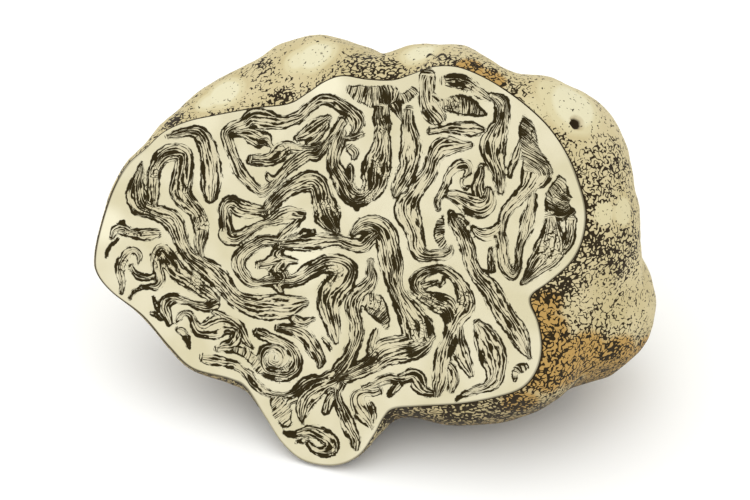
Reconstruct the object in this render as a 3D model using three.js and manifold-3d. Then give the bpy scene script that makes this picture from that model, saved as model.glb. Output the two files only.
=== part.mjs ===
// Half of a white truffle (Tuber magnatum). The fungus was cut once through its widest part and lies on
// its rounded, lobed back, with the cut face turned up and forward. It grew as one body, so it is one
// solid: a lobed back, a flat cut, the dark spore-bearing flesh sunk a little below the pale veins that
// run between it, a few pits in the skin, and three small flats where the back rests.
//
// All tables below are in millimetres in the cut's own drawing frame: x to the right, y up and z toward
// the reader, with the middle of the cut at the origin. One turn about x and one shift stand it up.

import * as THREE from "three";
import { mergeVertices } from "three/addons/utils/BufferGeometryUtils.js";
import Module from "manifold-3d";

// ---------------------------------------------------------------- driving dimensions, in millimetres

const DEG = Math.PI / 180;

const READER_LIFT = 40 * DEG; // the drawing frame looks down on the ground at this angle
const TURN_LEFT = 17 * DEG; // how far the cut faces to the reader's left
const TURN_DOWN = 8 * DEG; // and how far down
const STAND = [-4.2, -5.8, 22.2]; // shift that puts the middle of the footprint at the origin, floor at 0

const RINGS = 23; // rows of skin facets from the middle of the back to the cut's edge
const RIM_SAMPLES = 1440;
const RIM_FADE = 20 * DEG; // the skin follows the cut's edge exactly, and the lobes this far behind it
const LOBE_BLEND = 0.6; // sharpness of the valleys between the lobes, per mm
const FARTHEST = 60; // no skin lies farther than this from the middle of the cut
const RIPPLE = { height: 0.22, pitch: 7.5 }; // low waves all over the skin

const FLESH_STEP = 0.5; // spacing of the grid on which the flesh's edge is found
const FLESH_SINK = 0.45; // the dark flesh dries and lies this far below the veins
const FLESH_SMALLEST = 0.7; // patches of flesh or vein under this area, in mm2, are left to the surface
const EDGE_TOLERANCE = 0.1; // a straight facet may leave the flesh's curved edge by this much
const CUTTER_PROUD = 0.6; // cutters stand this far out of the surface that they cut

// The cut's edge, clockwise from its leftmost point.
const RIM = [
  [-28.3, -0.7], [-27.6, 2.8], [-26.2, 7.0], [-24.5, 9.9], [-22.3, 11.8], [-20.2, 13.7], [-17.5, 14.9],
  [-14.3, 15.6], [-9.8, 16.4], [-5.8, 16.9], [-3.5, 18.2], [-1.5, 19.5], [0.5, 20.1], [3.2, 19.7],
  [6.2, 19.6], [8.5, 20.3], [10.8, 21.1], [13.5, 21.1], [16.2, 20.1], [18.8, 18.6], [21.5, 16.6],
  [24.0, 14.2], [26.0, 11.3], [27.4, 8.2], [28.3, 4.7], [28.0, 1.5], [26.7, -1.2], [24.2, -3.5],
  [22.3, -4.9], [22.0, -6.1], [22.9, -8.3], [23.3, -11.2], [22.7, -13.8], [21.0, -15.8], [17.8, -16.9],
  [13.8, -17.6], [9.3, -17.9], [6.3, -18.2], [5.1, -19.3], [4.0, -21.3], [2.2, -23.7], [-0.5, -24.8],
  [-4.0, -24.3], [-6.5, -22.3], [-8.5, -19.3], [-10.7, -15.9], [-12.7, -14.8], [-17.0, -13.6],
  [-19.7, -11.1], [-22.8, -7.5], [-26.3, -4.8], [-28.0, -2.7],
];

// The lobes that the back grew in: x, y, how far behind the cut the centre lies, and the radius.
const LOBES = {
  leftCrown: [-11.8, 12.3, 5.5, 8.2],
  middleCrown: [-2.4, 14.9, 7.0, 10.0],
  rightCrown: [11.2, 15.2, 6.0, 8.9],
  shoulder: [23.8, 9.8, 7.0, 9.6],
  flank: [25.3, 1.4, 8.0, 9.4],
  heel: [27.8, -6.2, 15.5, 8.8],
  belly: [14.0, -10.9, 7.5, 9.0],
  bellyEnd: [19.4, -11.1, 9.0, 7.5],
  instep: [4.5, -13.0, 3.5, 6.2],
  toe: [-1.8, -17.6, 1.0, 5.8],
  cheek: [-16.0, 0.8, 5.0, 9.1],
  jowl: [-9.5, -6.0, 6.0, 9.0],
  hollow: [20.0, -5.0, 8.0, 7.8],
  heart: [4.0, 1.0, 7.0, 15.0],
  backTop: [5.0, 8.0, 15.5, 9.5],
  backLeftFoot: [-4.5, -0.2, 20.5, 8.3],
  backRightFoot: [19.0, -2.5, 23.6, 8.8],
};

// Pits in the skin: azimuth round the cut and tilt from the middle of the back, in degrees, and radius.
const PITS = [
  [27, 85, 0.8],
  [152, 40, 0.9],
  [255, 30, 0.7],
  [12, 28, 0.8],
];
const PIT_SEGMENTS = 10;

// The bands of dark flesh on the cut, each a route of [x, y, width].
const FLESH = {
  spike: [
    [-22.8, 10.3, 0.2], [-23.1, 9.0, 0.8], [-23.4, 7.7, 1.7], [-23.4, 6.4, 2.5], [-23.0, 5.3, 2.3],
    [-22.0, 4.7, 1.7], [-20.5, 4.2, 1.9], [-19.2, 3.4, 2.2], [-18.5, 2.0, 1.9], [-18.1, 0.7, 1.5],
    [-17.3, -0.5, 1.5], [-16.2, -1.4, 1.9], [-15.0, -2.2, 2.2], [-13.9, -3.2, 2.2], [-13.0, -4.3, 2.0],
    [-12.3, -5.2, 1.8], [-11.3, -5.9, 2.0], [-10.1, -6.3, 2.4], [-8.8, -6.5, 2.8], [-7.4, -6.5, 2.9],
    [-6.0, -6.4, 2.6], [-5.0, -6.2, 2.0], [-4.2, -6.0, 1.2],
  ],
  crook: [
    [-21.6, 5.0, 1.1], [-21.5, 6.5, 1.3], [-21.5, 8.0, 1.4], [-21.3, 9.5, 1.4], [-20.4, 10.9, 1.7],
    [-19.2, 11.4, 1.8], [-18.0, 11.1, 2.0], [-17.9, 9.6, 2.1], [-18.2, 8.0, 2.3], [-18.3, 6.7, 2.4],
    [-17.4, 5.5, 1.9], [-16.5, 4.5, 1.6], [-16.0, 3.3, 1.7], [-15.9, 2.2, 1.5], [-16.1, 1.0, 1.2],
    [-16.1, 0.0, 0.9], [-15.9, -0.8, 0.6],
  ],
  shoulderBand: [
    [-19.8, 13.15, 0.3], [-18.6, 13.55, 0.8], [-17.4, 13.75, 1.0], [-16.3, 13.6, 1.6],
    [-15.5, 12.6, 1.8], [-15.0, 11.2, 2.1], [-14.75, 9.8, 2.2], [-14.75, 8.2, 2.4], [-14.8, 7.0, 2.1],
    [-14.8, 6.2, 1.3],
  ],
  leftFleck: [
    [-26.3, 1.6, 0.4], [-26.0, 2.3, 0.8], [-25.2, 2.5, 1.2], [-24.3, 2.1, 1.0], [-23.2, 1.9, 1.1],
    [-22.2, 1.9, 1.2], [-21.2, 2.0, 1.0],
  ],
  fleckTop: [[-25.7, 3.1, 0.2], [-25.3, 3.3, 0.3], [-24.9, 3.4, 0.2]],
  leftTick: [[-27.0, -0.7, 0.2], [-26.8, 0.1, 0.2], [-26.3, 0.7, 0.2], [-25.7, 1.3, 0.2]],
  claw: [
    [-25.2, -4.9, 0.3], [-25.1, -4.0, 0.5], [-25.2, -3.2, 0.7], [-25.4, -2.4, 0.9], [-25.3, -1.6, 1.0],
    [-24.9, -0.8, 1.0], [-24.3, -0.1, 0.9], [-23.6, 0.0, 0.7], [-23.2, -0.5, 0.6], [-23.2, -1.4, 0.3],
  ],
  clawInner: [
    [-24.1, -1.8, 0.4], [-23.7, -2.6, 0.6], [-23.0, -3.0, 0.7], [-22.2, -3.1, 0.7], [-21.5, -2.9, 0.5],
  ],
  fist: [
    [-24.2, -5.5, 0.2], [-23.9, -4.9, 0.3], [-23.2, -4.4, 0.4], [-22.2, -4.1, 0.5], [-21.2, -4.1, 0.8],
    [-20.7, -3.3, 0.9], [-21.0, -2.0, 1.2], [-21.0, -0.7, 1.5], [-20.5, 0.0, 1.5], [-19.9, -0.8, 1.9],
    [-19.3, -1.8, 2.1], [-18.3, -2.8, 1.9], [-17.0, -3.7, 1.8], [-15.7, -4.6, 1.5], [-14.7, -5.3, 1.1],
    [-14.2, -5.7, 0.7],
  ],
  knuckle: [
    [-19.6, -8.5, 0.5], [-20.0, -7.4, 1.1], [-20.2, -6.4, 1.3], [-19.6, -5.6, 1.4], [-18.7, -5.6, 1.0],
    [-17.6, -5.9, 0.6], [-16.4, -6.3, 0.8], [-15.4, -6.5, 1.2], [-14.6, -6.2, 1.6],
  ],
  paw: [[-21.8, -7.2, 0.2], [-21.2, -7.4, 0.4], [-20.6, -7.9, 0.3]],
  pawTop: [[-21.5, -5.4, 0.2], [-21.2, -6.2, 0.3], [-20.9, -6.9, 0.3]],
  cheekBand: [
    [-18.8, -8.2, 0.3], [-18.4, -7.6, 0.5], [-17.8, -7.2, 0.5], [-17.1, -7.5, 0.6], [-16.8, -8.3, 0.8],
    [-16.2, -9.1, 1.5], [-15.3, -9.1, 2.1], [-14.3, -8.8, 2.6], [-13.3, -8.6, 2.3], [-12.4, -8.8, 1.7],
    [-11.8, -9.1, 1.2],
  ],
  lash: [[-18.7, -9.1, 0.4], [-18.1, -9.4, 0.7], [-17.6, -10.2, 0.6], [-17.4, -11.2, 0.3]],
  ramp: [
    [-14.5, -7.0, 0.4], [-13.6, -7.5, 0.8], [-12.7, -8.0, 1.1], [-11.8, -8.6, 1.3], [-11.2, -9.6, 1.1],
    [-10.7, -10.5, 0.8], [-10.1, -11.2, 0.4],
  ],
  thumb: [
    [-14.1, -11.3, 0.5], [-13.4, -11.1, 1.1], [-12.6, -11.0, 1.4], [-12.0, -10.3, 1.3],
    [-11.7, -9.4, 1.2], [-11.4, -8.6, 0.8],
  ],
  sling: [
    [-12.1, -11.3, 0.9], [-11.1, -11.7, 0.9], [-10.2, -12.3, 1.0], [-9.5, -13.1, 1.0],
    [-9.0, -13.9, 0.7],
  ],
  whorl: [
    [-9.5, -9.4, 0.9], [-8.7, -9.7, 1.3], [-7.8, -10.2, 1.1], [-6.8, -10.5, 1.0], [-5.9, -11.0, 1.2],
    [-5.2, -11.8, 1.4], [-4.9, -12.9, 1.3], [-5.3, -13.9, 1.4], [-6.2, -14.4, 1.4], [-7.3, -14.3, 1.4],
    [-8.3, -14.0, 1.2], [-8.9, -13.2, 0.9], [-9.0, -12.2, 0.8], [-8.6, -11.4, 1.0], [-7.7, -11.2, 1.0],
    [-6.9, -11.6, 1.2], [-6.5, -12.4, 1.3], [-7.0, -13.1, 1.0], [-7.9, -12.8, 1.0], [-7.8, -12.2, 0.8],
  ],
  keel: [
    [-15.8, -12.4, 0.8], [-14.6, -12.6, 1.2], [-13.3, -12.9, 1.0], [-12.1, -13.2, 0.9],
    [-11.2, -13.7, 0.7], [-10.5, -14.3, 0.9], [-9.8, -15.3, 1.0], [-8.8, -16.1, 0.9],
    [-7.6, -16.6, 0.5], [-6.3, -16.7, 0.5], [-5.3, -16.4, 0.7], [-4.6, -15.8, 1.0], [-3.9, -15.2, 1.1],
    [-3.0, -14.9, 1.0], [-2.0, -14.8, 0.9], [-1.1, -14.4, 1.1], [-0.2, -14.2, 1.4],
  ],
  fringe: [[-7.1, -17.6, 1.6], [-6.6, -18.6, 2.0], [-6.2, -19.7, 1.4]],
  fan: [
    [-0.3, -15.0, 1.1], [-1.6, -15.5, 1.5], [-2.7, -16.2, 1.9], [-3.6, -17.1, 2.1], [-4.1, -18.1, 1.6],
    [-4.3, -19.0, 1.0], [-4.3, -19.8, 0.3],
  ],
  fanThumb: [[-6.0, -18.1, 0.3], [-5.7, -17.5, 0.5], [-5.1, -17.1, 0.7]],
  rope: [
    [0.2, -15.3, 1.1], [-0.2, -16.3, 0.9], [-0.1, -17.4, 1.0], [0.4, -18.5, 1.2], [0.9, -19.6, 1.4],
    [1.3, -20.7, 1.5], [1.8, -21.7, 1.2], [1.9, -22.6, 0.8],
  ],
  ropeTip: [[-0.7, -16.6, 0.7], [-1.2, -17.5, 0.9], [-1.5, -18.5, 0.8]],
  pool: [
    [-6.3, -21.0, 0.3], [-5.4, -21.2, 0.6], [-4.4, -21.0, 0.9], [-3.4, -20.8, 1.2], [-2.3, -21.1, 1.6],
    [-1.2, -21.8, 1.8], [-0.9, -22.8, 1.7], [-1.8, -23.2, 1.2], [-2.8, -23.0, 0.9], [-3.4, -22.4, 0.6],
  ],
  poolLap: [[-5.0, -22.2, 0.2], [-4.3, -22.0, 0.4], [-3.5, -21.9, 0.2]],
  pendant: [
    [4.7, -16.2, 0.7], [3.9, -16.4, 0.8], [3.0, -16.3, 0.9], [2.2, -16.8, 1.3], [2.2, -17.6, 1.5],
    [2.6, -18.4, 1.7], [3.0, -19.2, 1.5], [3.4, -19.8, 1.0], [3.7, -20.3, 0.5],
  ],
  pendantEdge: [[3.6, -17.5, 0.3], [3.9, -18.1, 0.5], [4.1, -19.0, 0.4], [4.0, -19.8, 0.2]],
  festoon: [
    [2.8, -15.9, 0.6], [3.8, -15.5, 0.7], [4.8, -15.0, 0.8], [5.8, -14.7, 1.0], [6.8, -14.9, 1.1],
    [7.6, -14.7, 1.3], [8.4, -14.4, 1.7], [9.0, -14.8, 2.0], [9.3, -15.6, 1.7], [9.8, -16.2, 1.1],
    [10.7, -16.4, 0.6],
  ],
  festoonLeg: [[6.9, -15.4, 0.9], [6.4, -15.9, 0.9], [5.9, -16.6, 0.5]],
  wing: [
    [-0.2, -14.5, 1.6], [1.0, -14.4, 1.6], [2.1, -13.9, 1.8], [3.2, -13.4, 1.9], [4.3, -12.6, 2.4],
    [5.2, -11.8, 3.1], [6.3, -11.5, 3.2], [7.5, -11.3, 3.1], [8.7, -11.0, 3.0], [9.8, -10.5, 2.3],
    [10.5, -9.9, 1.2],
  ],
  wingHorn: [[3.6, -11.6, 0.8], [3.9, -10.6, 0.9], [4.1, -9.9, 0.9], [4.3, -9.3, 0.6]],
  arch: [
    [1.5, 1.8, 0.5], [2.0, 2.4, 1.1], [2.8, 2.9, 1.7], [3.7, 3.0, 2.2], [4.7, 2.6, 2.5],
    [5.4, 1.7, 2.7], [5.7, 0.4, 2.6], [5.9, -0.9, 2.6], [6.2, -2.2, 2.4], [6.3, -3.4, 2.0],
    [6.7, -4.6, 1.6], [7.2, -5.7, 2.0], [7.9, -6.8, 2.7], [8.5, -7.9, 3.2], [9.0, -8.9, 3.7],
    [9.2, -9.8, 3.4],
  ],
  archLeft: [
    [3.7, -1.2, 0.7], [3.7, -2.2, 0.9], [3.8, -3.2, 1.3], [3.2, -4.2, 1.7], [2.3, -5.1, 1.8],
    [1.7, -6.1, 1.9], [1.7, -7.2, 1.7], [2.0, -8.3, 1.4], [2.1, -9.4, 1.6], [2.0, -10.4, 1.4],
    [1.5, -11.5, 1.5], [1.0, -12.6, 1.7], [0.3, -13.6, 1.8], [-0.2, -14.3, 1.8],
  ],
  seed: [[3.2, -5.7, 1.7], [4.1, -6.2, 2.4], [4.9, -7.4, 1.7], [5.3, -8.2, 1.1], [5.5, -8.7, 0.5]],
  river: [
    [-6.9, 0.7, 1.2], [-5.6, 0.9, 1.5], [-4.2, 0.9, 1.7], [-2.8, 1.0, 1.8], [-1.4, 1.2, 1.5],
    [-0.2, 1.2, 1.3], [0.8, 0.9, 1.3], [1.8, 0.6, 1.5], [2.7, 0.6, 1.6], [3.4, 1.2, 1.6],
    [4.2, 1.9, 1.4],
  ],
  hill: [
    [-8.6, 4.4, 1.1], [-7.8, 5.3, 1.4], [-6.9, 6.2, 1.6], [-5.9, 7.0, 1.6], [-4.6, 7.7, 2.0],
    [-3.2, 8.0, 2.4], [-2.3, 7.3, 2.3], [-1.9, 6.0, 2.4], [-1.5, 4.9, 2.8], [-1.2, 3.9, 3.0],
    [-0.8, 3.0, 1.9], [-0.4, 2.4, 0.9],
  ],
  hook: [
    [-8.3, 4.6, 1.2], [-9.4, 4.6, 1.3], [-10.5, 4.7, 1.7], [-11.6, 5.0, 1.8], [-12.6, 5.5, 1.7],
    [-13.2, 4.9, 1.2], [-13.2, 3.7, 1.3], [-13.0, 2.6, 1.4], [-13.0, 1.8, 1.6], [-12.3, 1.4, 1.6],
    [-11.3, 1.7, 1.3], [-10.3, 2.4, 1.0], [-9.3, 2.9, 0.8], [-8.5, 3.2, 0.7], [-7.6, 3.5, 1.1],
    [-6.7, 3.9, 1.7], [-5.7, 4.2, 1.9], [-4.8, 4.1, 1.7],
  ],
  hookTail: [[-4.6, 3.8, 1.0], [-5.3, 2.9, 1.0], [-6.1, 2.2, 1.0], [-6.9, 1.4, 0.9], [-7.4, 0.7, 0.8]],
  curl: [
    [-3.0, 2.2, 0.6], [-4.0, 2.0, 0.8], [-5.0, 1.5, 0.8], [-6.2, 1.1, 0.9], [-7.4, 1.1, 1.1],
    [-8.6, 1.2, 1.2], [-9.7, 0.7, 1.4], [-10.7, 0.0, 1.5], [-11.5, -0.9, 1.6], [-11.5, -2.0, 1.4],
    [-10.9, -3.0, 1.4], [-10.0, -3.7, 1.1], [-9.0, -3.7, 0.9], [-8.0, -3.5, 1.3], [-6.8, -3.4, 1.7],
    [-5.6, -3.5, 1.4], [-4.5, -3.1, 1.5], [-3.5, -2.4, 1.8], [-2.5, -1.8, 1.8], [-1.4, -1.5, 2.0],
    [-0.1, -1.6, 2.2], [0.8, -2.2, 2.6], [0.4, -3.2, 3.0], [-0.4, -4.1, 3.1], [-1.0, -5.2, 3.0],
    [-1.2, -6.4, 2.5], [-1.0, -7.5, 2.1], [-0.7, -8.6, 1.7], [-0.5, -9.6, 1.3], [-0.3, -10.4, 0.6],
  ],
  curlTip: [[-1.9, -10.0, 0.2], [-1.4, -10.6, 0.4], [-0.9, -11.3, 0.3]],
  curlInner: [
    [-9.2, -1.6, 0.9], [-8.4, -1.5, 1.1], [-7.5, -1.2, 1.6], [-6.6, -1.1, 1.5], [-5.8, -1.1, 0.9],
    [-5.0, -1.2, 0.5],
  ],
  curlBar: [
    [-7.5, 1.1, 0.5], [-6.8, 0.4, 0.9], [-7.3, -0.5, 1.2], [-6.5, -1.3, 1.5], [-7.2, -2.2, 1.9],
    [-6.5, -3.1, 1.9], [-7.1, -4.0, 1.2], [-6.6, -4.8, 0.5],
  ],
  prong: [
    [-7.1, -8.9, 0.7], [-6.2, -9.0, 1.1], [-5.2, -9.1, 1.3], [-4.2, -9.6, 1.5], [-3.4, -10.5, 1.5],
    [-2.7, -11.6, 1.5], [-2.2, -12.6, 1.2], [-2.2, -13.2, 0.6],
  ],
  prongUpper: [[-5.2, -7.9, 1.0], [-4.2, -8.3, 0.9], [-3.1, -7.9, 0.5]],
  lid: [
    [1.3, 18.6, 0.8], [2.3, 18.2, 1.8], [3.5, 17.8, 2.2], [5.0, 17.7, 2.4], [6.1, 17.8, 2.1],
    [7.0, 17.5, 1.0], [7.9, 17.8, 1.0], [8.7, 18.4, 0.8],
  ],
  wedge: [[6.4, 17.0, 1.4], [6.8, 16.2, 0.9], [7.2, 15.2, 0.2]],
  drop: [
    [4.9, 16.6, 1.6], [4.9, 15.2, 1.9], [5.1, 14.3, 1.8], [4.9, 13.4, 1.6], [5.0, 12.5, 2.0],
    [4.8, 11.2, 2.6], [4.4, 10.0, 3.2], [4.2, 8.8, 3.2], [4.1, 7.7, 2.6], [3.6, 6.8, 2.2],
    [2.8, 6.2, 1.9], [1.9, 6.1, 2.0], [1.1, 6.7, 2.0], [0.6, 7.7, 2.1], [0.0, 8.8, 1.9],
    [-0.6, 10.0, 1.6], [-0.5, 11.2, 1.4], [-0.1, 12.5, 1.6], [0.3, 13.6, 1.0],
  ],
  dropTip: [[2.1, 5.6, 1.0], [2.1, 4.8, 0.4]],
  cup: [[1.3, 9.7, 0.6], [1.3, 8.8, 0.8], [1.4, 7.9, 0.6], [1.4, 7.1, 0.4]],
  brow: [
    [1.7, 13.6, 0.6], [2.0, 14.1, 1.2], [2.0, 15.0, 1.8], [1.3, 15.9, 1.6], [0.3, 16.6, 1.4],
    [-0.8, 17.3, 1.3], [-2.0, 17.4, 1.2], [-3.3, 16.6, 1.1], [-4.4, 15.6, 1.3], [-5.6, 15.0, 1.3],
    [-7.0, 14.8, 1.6], [-8.4, 15.1, 2.2], [-9.8, 15.3, 2.1], [-11.0, 14.6, 1.5], [-12.2, 14.2, 1.3],
    [-13.0, 13.5, 1.2], [-12.6, 12.0, 1.2], [-12.2, 11.0, 1.1], [-11.8, 10.0, 1.2], [-11.3, 9.0, 1.3],
    [-10.5, 8.1, 1.2], [-9.7, 7.3, 1.0], [-9.0, 6.8, 0.9], [-8.2, 7.2, 0.8], [-7.0, 8.3, 1.0],
    [-5.9, 9.5, 1.2], [-4.8, 10.4, 1.4], [-3.6, 11.1, 1.4], [-2.5, 11.1, 1.3], [-1.5, 12.3, 0.8],
    [-0.5, 13.6, 0.8], [0.3, 14.8, 1.1],
  ],
  browLap: [
    [-11.9, 13.5, 0.6], [-10.9, 13.6, 1.2], [-10.0, 13.3, 1.9], [-9.1, 12.9, 2.2], [-8.4, 12.8, 1.7],
    [-8.0, 12.3, 0.6],
  ],
  browWedge: [[-8.3, 8.9, 0.4], [-7.9, 8.4, 0.7], [-7.2, 8.3, 0.4]],
  tongue: [
    [-10.0, 10.5, 1.2], [-9.0, 10.4, 1.2], [-7.8, 10.6, 1.5], [-6.7, 11.4, 1.8], [-5.7, 11.9, 1.3],
    [-4.5, 11.8, 0.8], [-3.2, 11.9, 0.6], [-2.2, 12.1, 0.6],
  ],
  almond: [
    [-4.8, 13.0, 0.7], [-3.8, 13.5, 1.4], [-2.8, 14.2, 1.8], [-1.9, 14.8, 1.5], [-1.2, 15.3, 0.7],
  ],
  almondUnder: [[-3.6, 12.3, 0.5], [-2.8, 12.9, 0.8], [-2.1, 13.6, 0.8], [-1.5, 14.3, 0.6]],
  bead: [[1.3, 11.8, 0.8], [1.7, 11.3, 1.1], [1.7, 10.7, 0.5]],
  beadLip: [[0.7, 13.0, 0.4], [1.8, 13.1, 0.5], [2.7, 13.4, 0.5]],
  staff: [
    [8.05, 16.2, 0.8], [7.95, 15.0, 1.3], [8.1, 13.7, 1.8], [8.3, 12.4, 2.3], [8.2, 11.2, 2.4],
    [8.1, 10.1, 2.2], [7.7, 9.0, 2.1], [7.1, 7.8, 1.7], [6.7, 6.9, 1.2], [6.5, 6.3, 0.6],
  ],
  stem: [
    [10.2, 20.1, 1.7], [10.1, 19.2, 1.8], [10.1, 18.2, 1.7], [10.2, 17.2, 1.8], [10.6, 16.3, 2.2],
    [11.2, 15.6, 2.2],
  ],
  stemLap: [[10.4, 18.2, 0.6], [11.0, 17.6, 0.8], [11.6, 17.1, 0.5]],
  fish: [
    [11.6, 17.1, 0.6], [12.6, 16.8, 1.5], [13.8, 16.8, 2.1], [15.0, 16.5, 1.9], [16.0, 16.0, 1.1],
    [16.9, 15.65, 0.3],
  ],
  moth: [
    [12.2, 19.6, 1.0], [13.1, 19.6, 1.4], [14.1, 19.4, 1.6], [15.0, 19.0, 1.4], [15.8, 18.4, 1.2],
    [16.7, 17.8, 0.9], [17.3, 17.4, 0.4],
  ],
  plume: [
    [17.6, 17.8, 0.7], [18.6, 17.1, 1.6], [18.8, 15.8, 1.6], [18.6, 14.6, 1.8], [18.1, 13.4, 2.4],
    [17.7, 12.3, 2.9], [17.8, 11.1, 2.6], [18.1, 10.0, 2.0], [18.4, 9.0, 1.5], [18.5, 8.0, 1.2],
    [18.6, 6.8, 0.7],
  ],
  comb: [
    [21.3, 15.4, 0.3], [21.5, 14.4, 1.4], [21.7, 13.2, 1.9], [21.8, 12.0, 1.9], [22.2, 10.9, 2.2],
    [22.5, 9.9, 3.0], [22.7, 9.0, 3.5], [22.3, 8.1, 3.0], [21.8, 7.2, 2.1], [20.9, 6.3, 1.5],
    [19.9, 5.3, 1.3], [19.1, 4.3, 1.2], [18.8, 3.2, 0.9], [18.6, 2.0, 1.0], [18.8, 0.8, 1.2],
    [18.9, -0.6, 1.3], [19.2, -1.9, 1.3], [20.0, -2.8, 1.1], [20.6, -1.8, 0.7], [20.7, -0.4, 0.7],
    [20.9, 0.8, 0.8], [21.4, 2.2, 1.3], [21.7, 3.6, 1.5], [22.1, 4.9, 1.1], [22.3, 6.2, 0.9],
  ],
  combEdge: [[19.6, 8.6, 0.5], [19.9, 9.8, 0.7], [20.4, 11.0, 0.9], [20.8, 12.0, 0.6]],
  bowl: [[15.3, 2.7, 0.3], [16.0, 2.1, 1.0], [17.0, 1.9, 1.3], [18.0, 2.3, 1.2], [18.5, 2.8, 1.0]],
  northLeaf: [
    [10.5, 13.8, 0.7], [11.7, 13.9, 0.6], [12.8, 14.1, 1.1], [14.0, 14.1, 1.4], [15.2, 14.0, 1.6],
    [16.0, 13.9, 1.3], [16.4, 13.9, 0.8],
  ],
  scarf: [
    [15.1, 12.2, 0.6], [14.0, 12.1, 1.2], [12.8, 12.1, 2.0], [11.7, 11.8, 2.2], [10.9, 10.6, 1.7],
    [10.6, 9.6, 1.6], [10.1, 8.5, 1.7], [9.3, 7.5, 1.8], [8.5, 6.3, 1.9], [7.9, 5.2, 2.7],
    [7.9, 4.2, 2.8], [8.4, 3.1, 2.4], [8.8, 1.7, 2.0], [9.0, 0.6, 1.9], [9.4, -0.3, 1.7],
    [10.2, -0.6, 1.2], [11.1, -0.5, 1.1], [12.0, -0.4, 1.2], [12.7, -0.1, 0.9], [12.9, 0.4, 0.3],
  ],
  westPetal: [
    [11.4, 4.8, 0.4], [11.2, 5.5, 0.6], [11.7, 6.5, 0.7], [12.3, 7.5, 0.8], [12.6, 8.5, 0.9],
    [13.1, 9.3, 1.0], [13.9, 9.8, 1.3], [14.6, 9.7, 1.2], [14.8, 9.1, 0.8], [14.4, 8.5, 0.4],
  ],
  northPetal: [
    [16.4, 9.7, 0.5], [16.3, 9.0, 0.9], [16.1, 8.2, 1.1], [15.9, 7.3, 1.3], [16.0, 6.5, 1.3],
  ],
  innerPetal: [[14.2, 8.2, 0.2], [14.1, 7.6, 0.2], [14.5, 7.2, 0.3], [15.1, 7.4, 0.2]],
  eastPetal: [
    [12.5, 6.5, 0.8], [13.4, 6.3, 1.3], [14.4, 5.8, 1.9], [15.4, 5.3, 2.4], [16.3, 5.2, 2.8],
    [17.0, 5.8, 2.2], [17.2, 6.8, 1.0],
  ],
  thorn: [[12.0, 4.0, 0.2], [11.7, 3.2, 0.6], [11.5, 2.3, 0.9], [11.6, 1.4, 0.9], [12.1, 0.6, 0.6]],
  sash: [
    [12.9, 4.3, 0.8], [13.3, 3.3, 1.2], [13.9, 2.3, 1.4], [14.5, 1.2, 1.5], [14.9, 0.0, 1.6],
    [15.1, -1.2, 1.5], [15.7, -2.4, 1.5], [16.5, -3.4, 1.8], [17.4, -4.4, 2.1], [18.0, -5.5, 2.2],
    [18.6, -6.7, 2.3], [19.4, -7.8, 2.2], [20.3, -9.0, 2.1], [20.9, -10.2, 1.9], [21.4, -11.3, 1.3],
    [21.9, -12.2, 0.4],
  ],
  sashLip: [[13.2, 4.1, 0.4], [14.1, 3.8, 0.5], [14.8, 3.2, 0.4]],
  post: [[17.4, 0.2, 0.4], [17.5, -1.1, 0.6], [17.6, -2.2, 0.7]],
  postFoot: [[15.8, -2.2, 0.4], [16.6, -2.5, 0.4], [17.4, -2.3, 0.4]],
  eastLeaf: [
    [25.3, 8.6, 0.3], [25.4, 7.6, 1.6], [25.2, 6.4, 2.6], [25.4, 5.2, 3.3], [25.9, 4.6, 2.4],
    [26.6, 4.4, 1.0],
  ],
  pod: [
    [24.4, 3.8, 1.3], [24.5, 2.9, 1.8], [24.5, 1.9, 2.5], [24.4, 0.8, 3.4], [24.0, -0.3, 3.4],
    [23.0, -1.4, 2.6], [22.2, -2.5, 1.5], [21.2, -3.7, 0.4],
  ],
  podEdge: [[26.7, 3.5, 1.2], [26.6, 2.2, 1.2], [26.3, 1.0, 1.2], [25.7, 0.0, 0.9]],
  cap: [
    [9.6, -5.1, 1.0], [9.0, -4.5, 1.3], [8.8, -3.6, 1.3], [9.5, -2.7, 1.2], [10.7, -2.2, 0.9],
    [11.9, -2.1, 0.9], [12.9, -2.7, 1.1], [13.7, -3.5, 1.3], [14.3, -4.6, 1.7], [14.6, -5.7, 2.0],
    [14.4, -6.7, 2.2], [13.7, -7.6, 2.0], [13.2, -8.5, 1.8], [12.8, -9.5, 1.4], [12.5, -10.5, 1.2],
    [12.2, -11.4, 1.6], [11.9, -12.5, 1.9], [11.7, -13.6, 1.7], [11.7, -14.8, 1.5], [11.5, -15.8, 1.3],
    [11.4, -16.5, 0.6],
  ],
  capTongue: [[9.7, -4.1, 0.5], [10.4, -3.9, 0.5], [11.2, -3.6, 0.4]],
  capUnder: [
    [9.5, -5.2, 1.1], [10.5, -5.6, 1.7], [11.5, -6.0, 2.2], [12.4, -6.4, 2.3], [12.8, -7.2, 1.9],
    [13.0, -8.1, 1.6],
  ],
  capSide: [[12.1, -3.1, 0.2], [12.1, -3.7, 0.3], [11.7, -4.1, 0.3]],
  tassel: [
    [13.8, -8.2, 0.6], [13.9, -9.3, 0.8], [13.9, -10.4, 1.2], [14.1, -11.6, 1.7], [14.4, -12.7, 1.5],
    [14.9, -13.6, 1.1], [15.2, -14.3, 0.6],
  ],
  foot: [[12.7, -13.2, 0.7], [13.1, -14.0, 1.1], [13.2, -14.9, 1.2], [13.0, -16.0, 0.6]],
  drumlin: [
    [15.9, -8.4, 0.9], [16.6, -9.3, 2.1], [17.1, -10.4, 2.8], [17.6, -11.6, 3.1], [17.9, -12.9, 2.8],
    [18.0, -14.1, 2.1], [17.7, -15.1, 1.7], [16.9, -15.7, 1.1], [16.0, -16.0, 0.8], [15.0, -16.3, 0.6],
    [14.2, -16.7, 0.4], [13.6, -17.2, 0.2],
  ],
  nib: [[20.2, -15.0, 0.3], [20.5, -13.8, 0.8], [21.5, -13.3, 0.7]],
};

// ---------------------------------------------------------------- the plane of the cut

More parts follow.
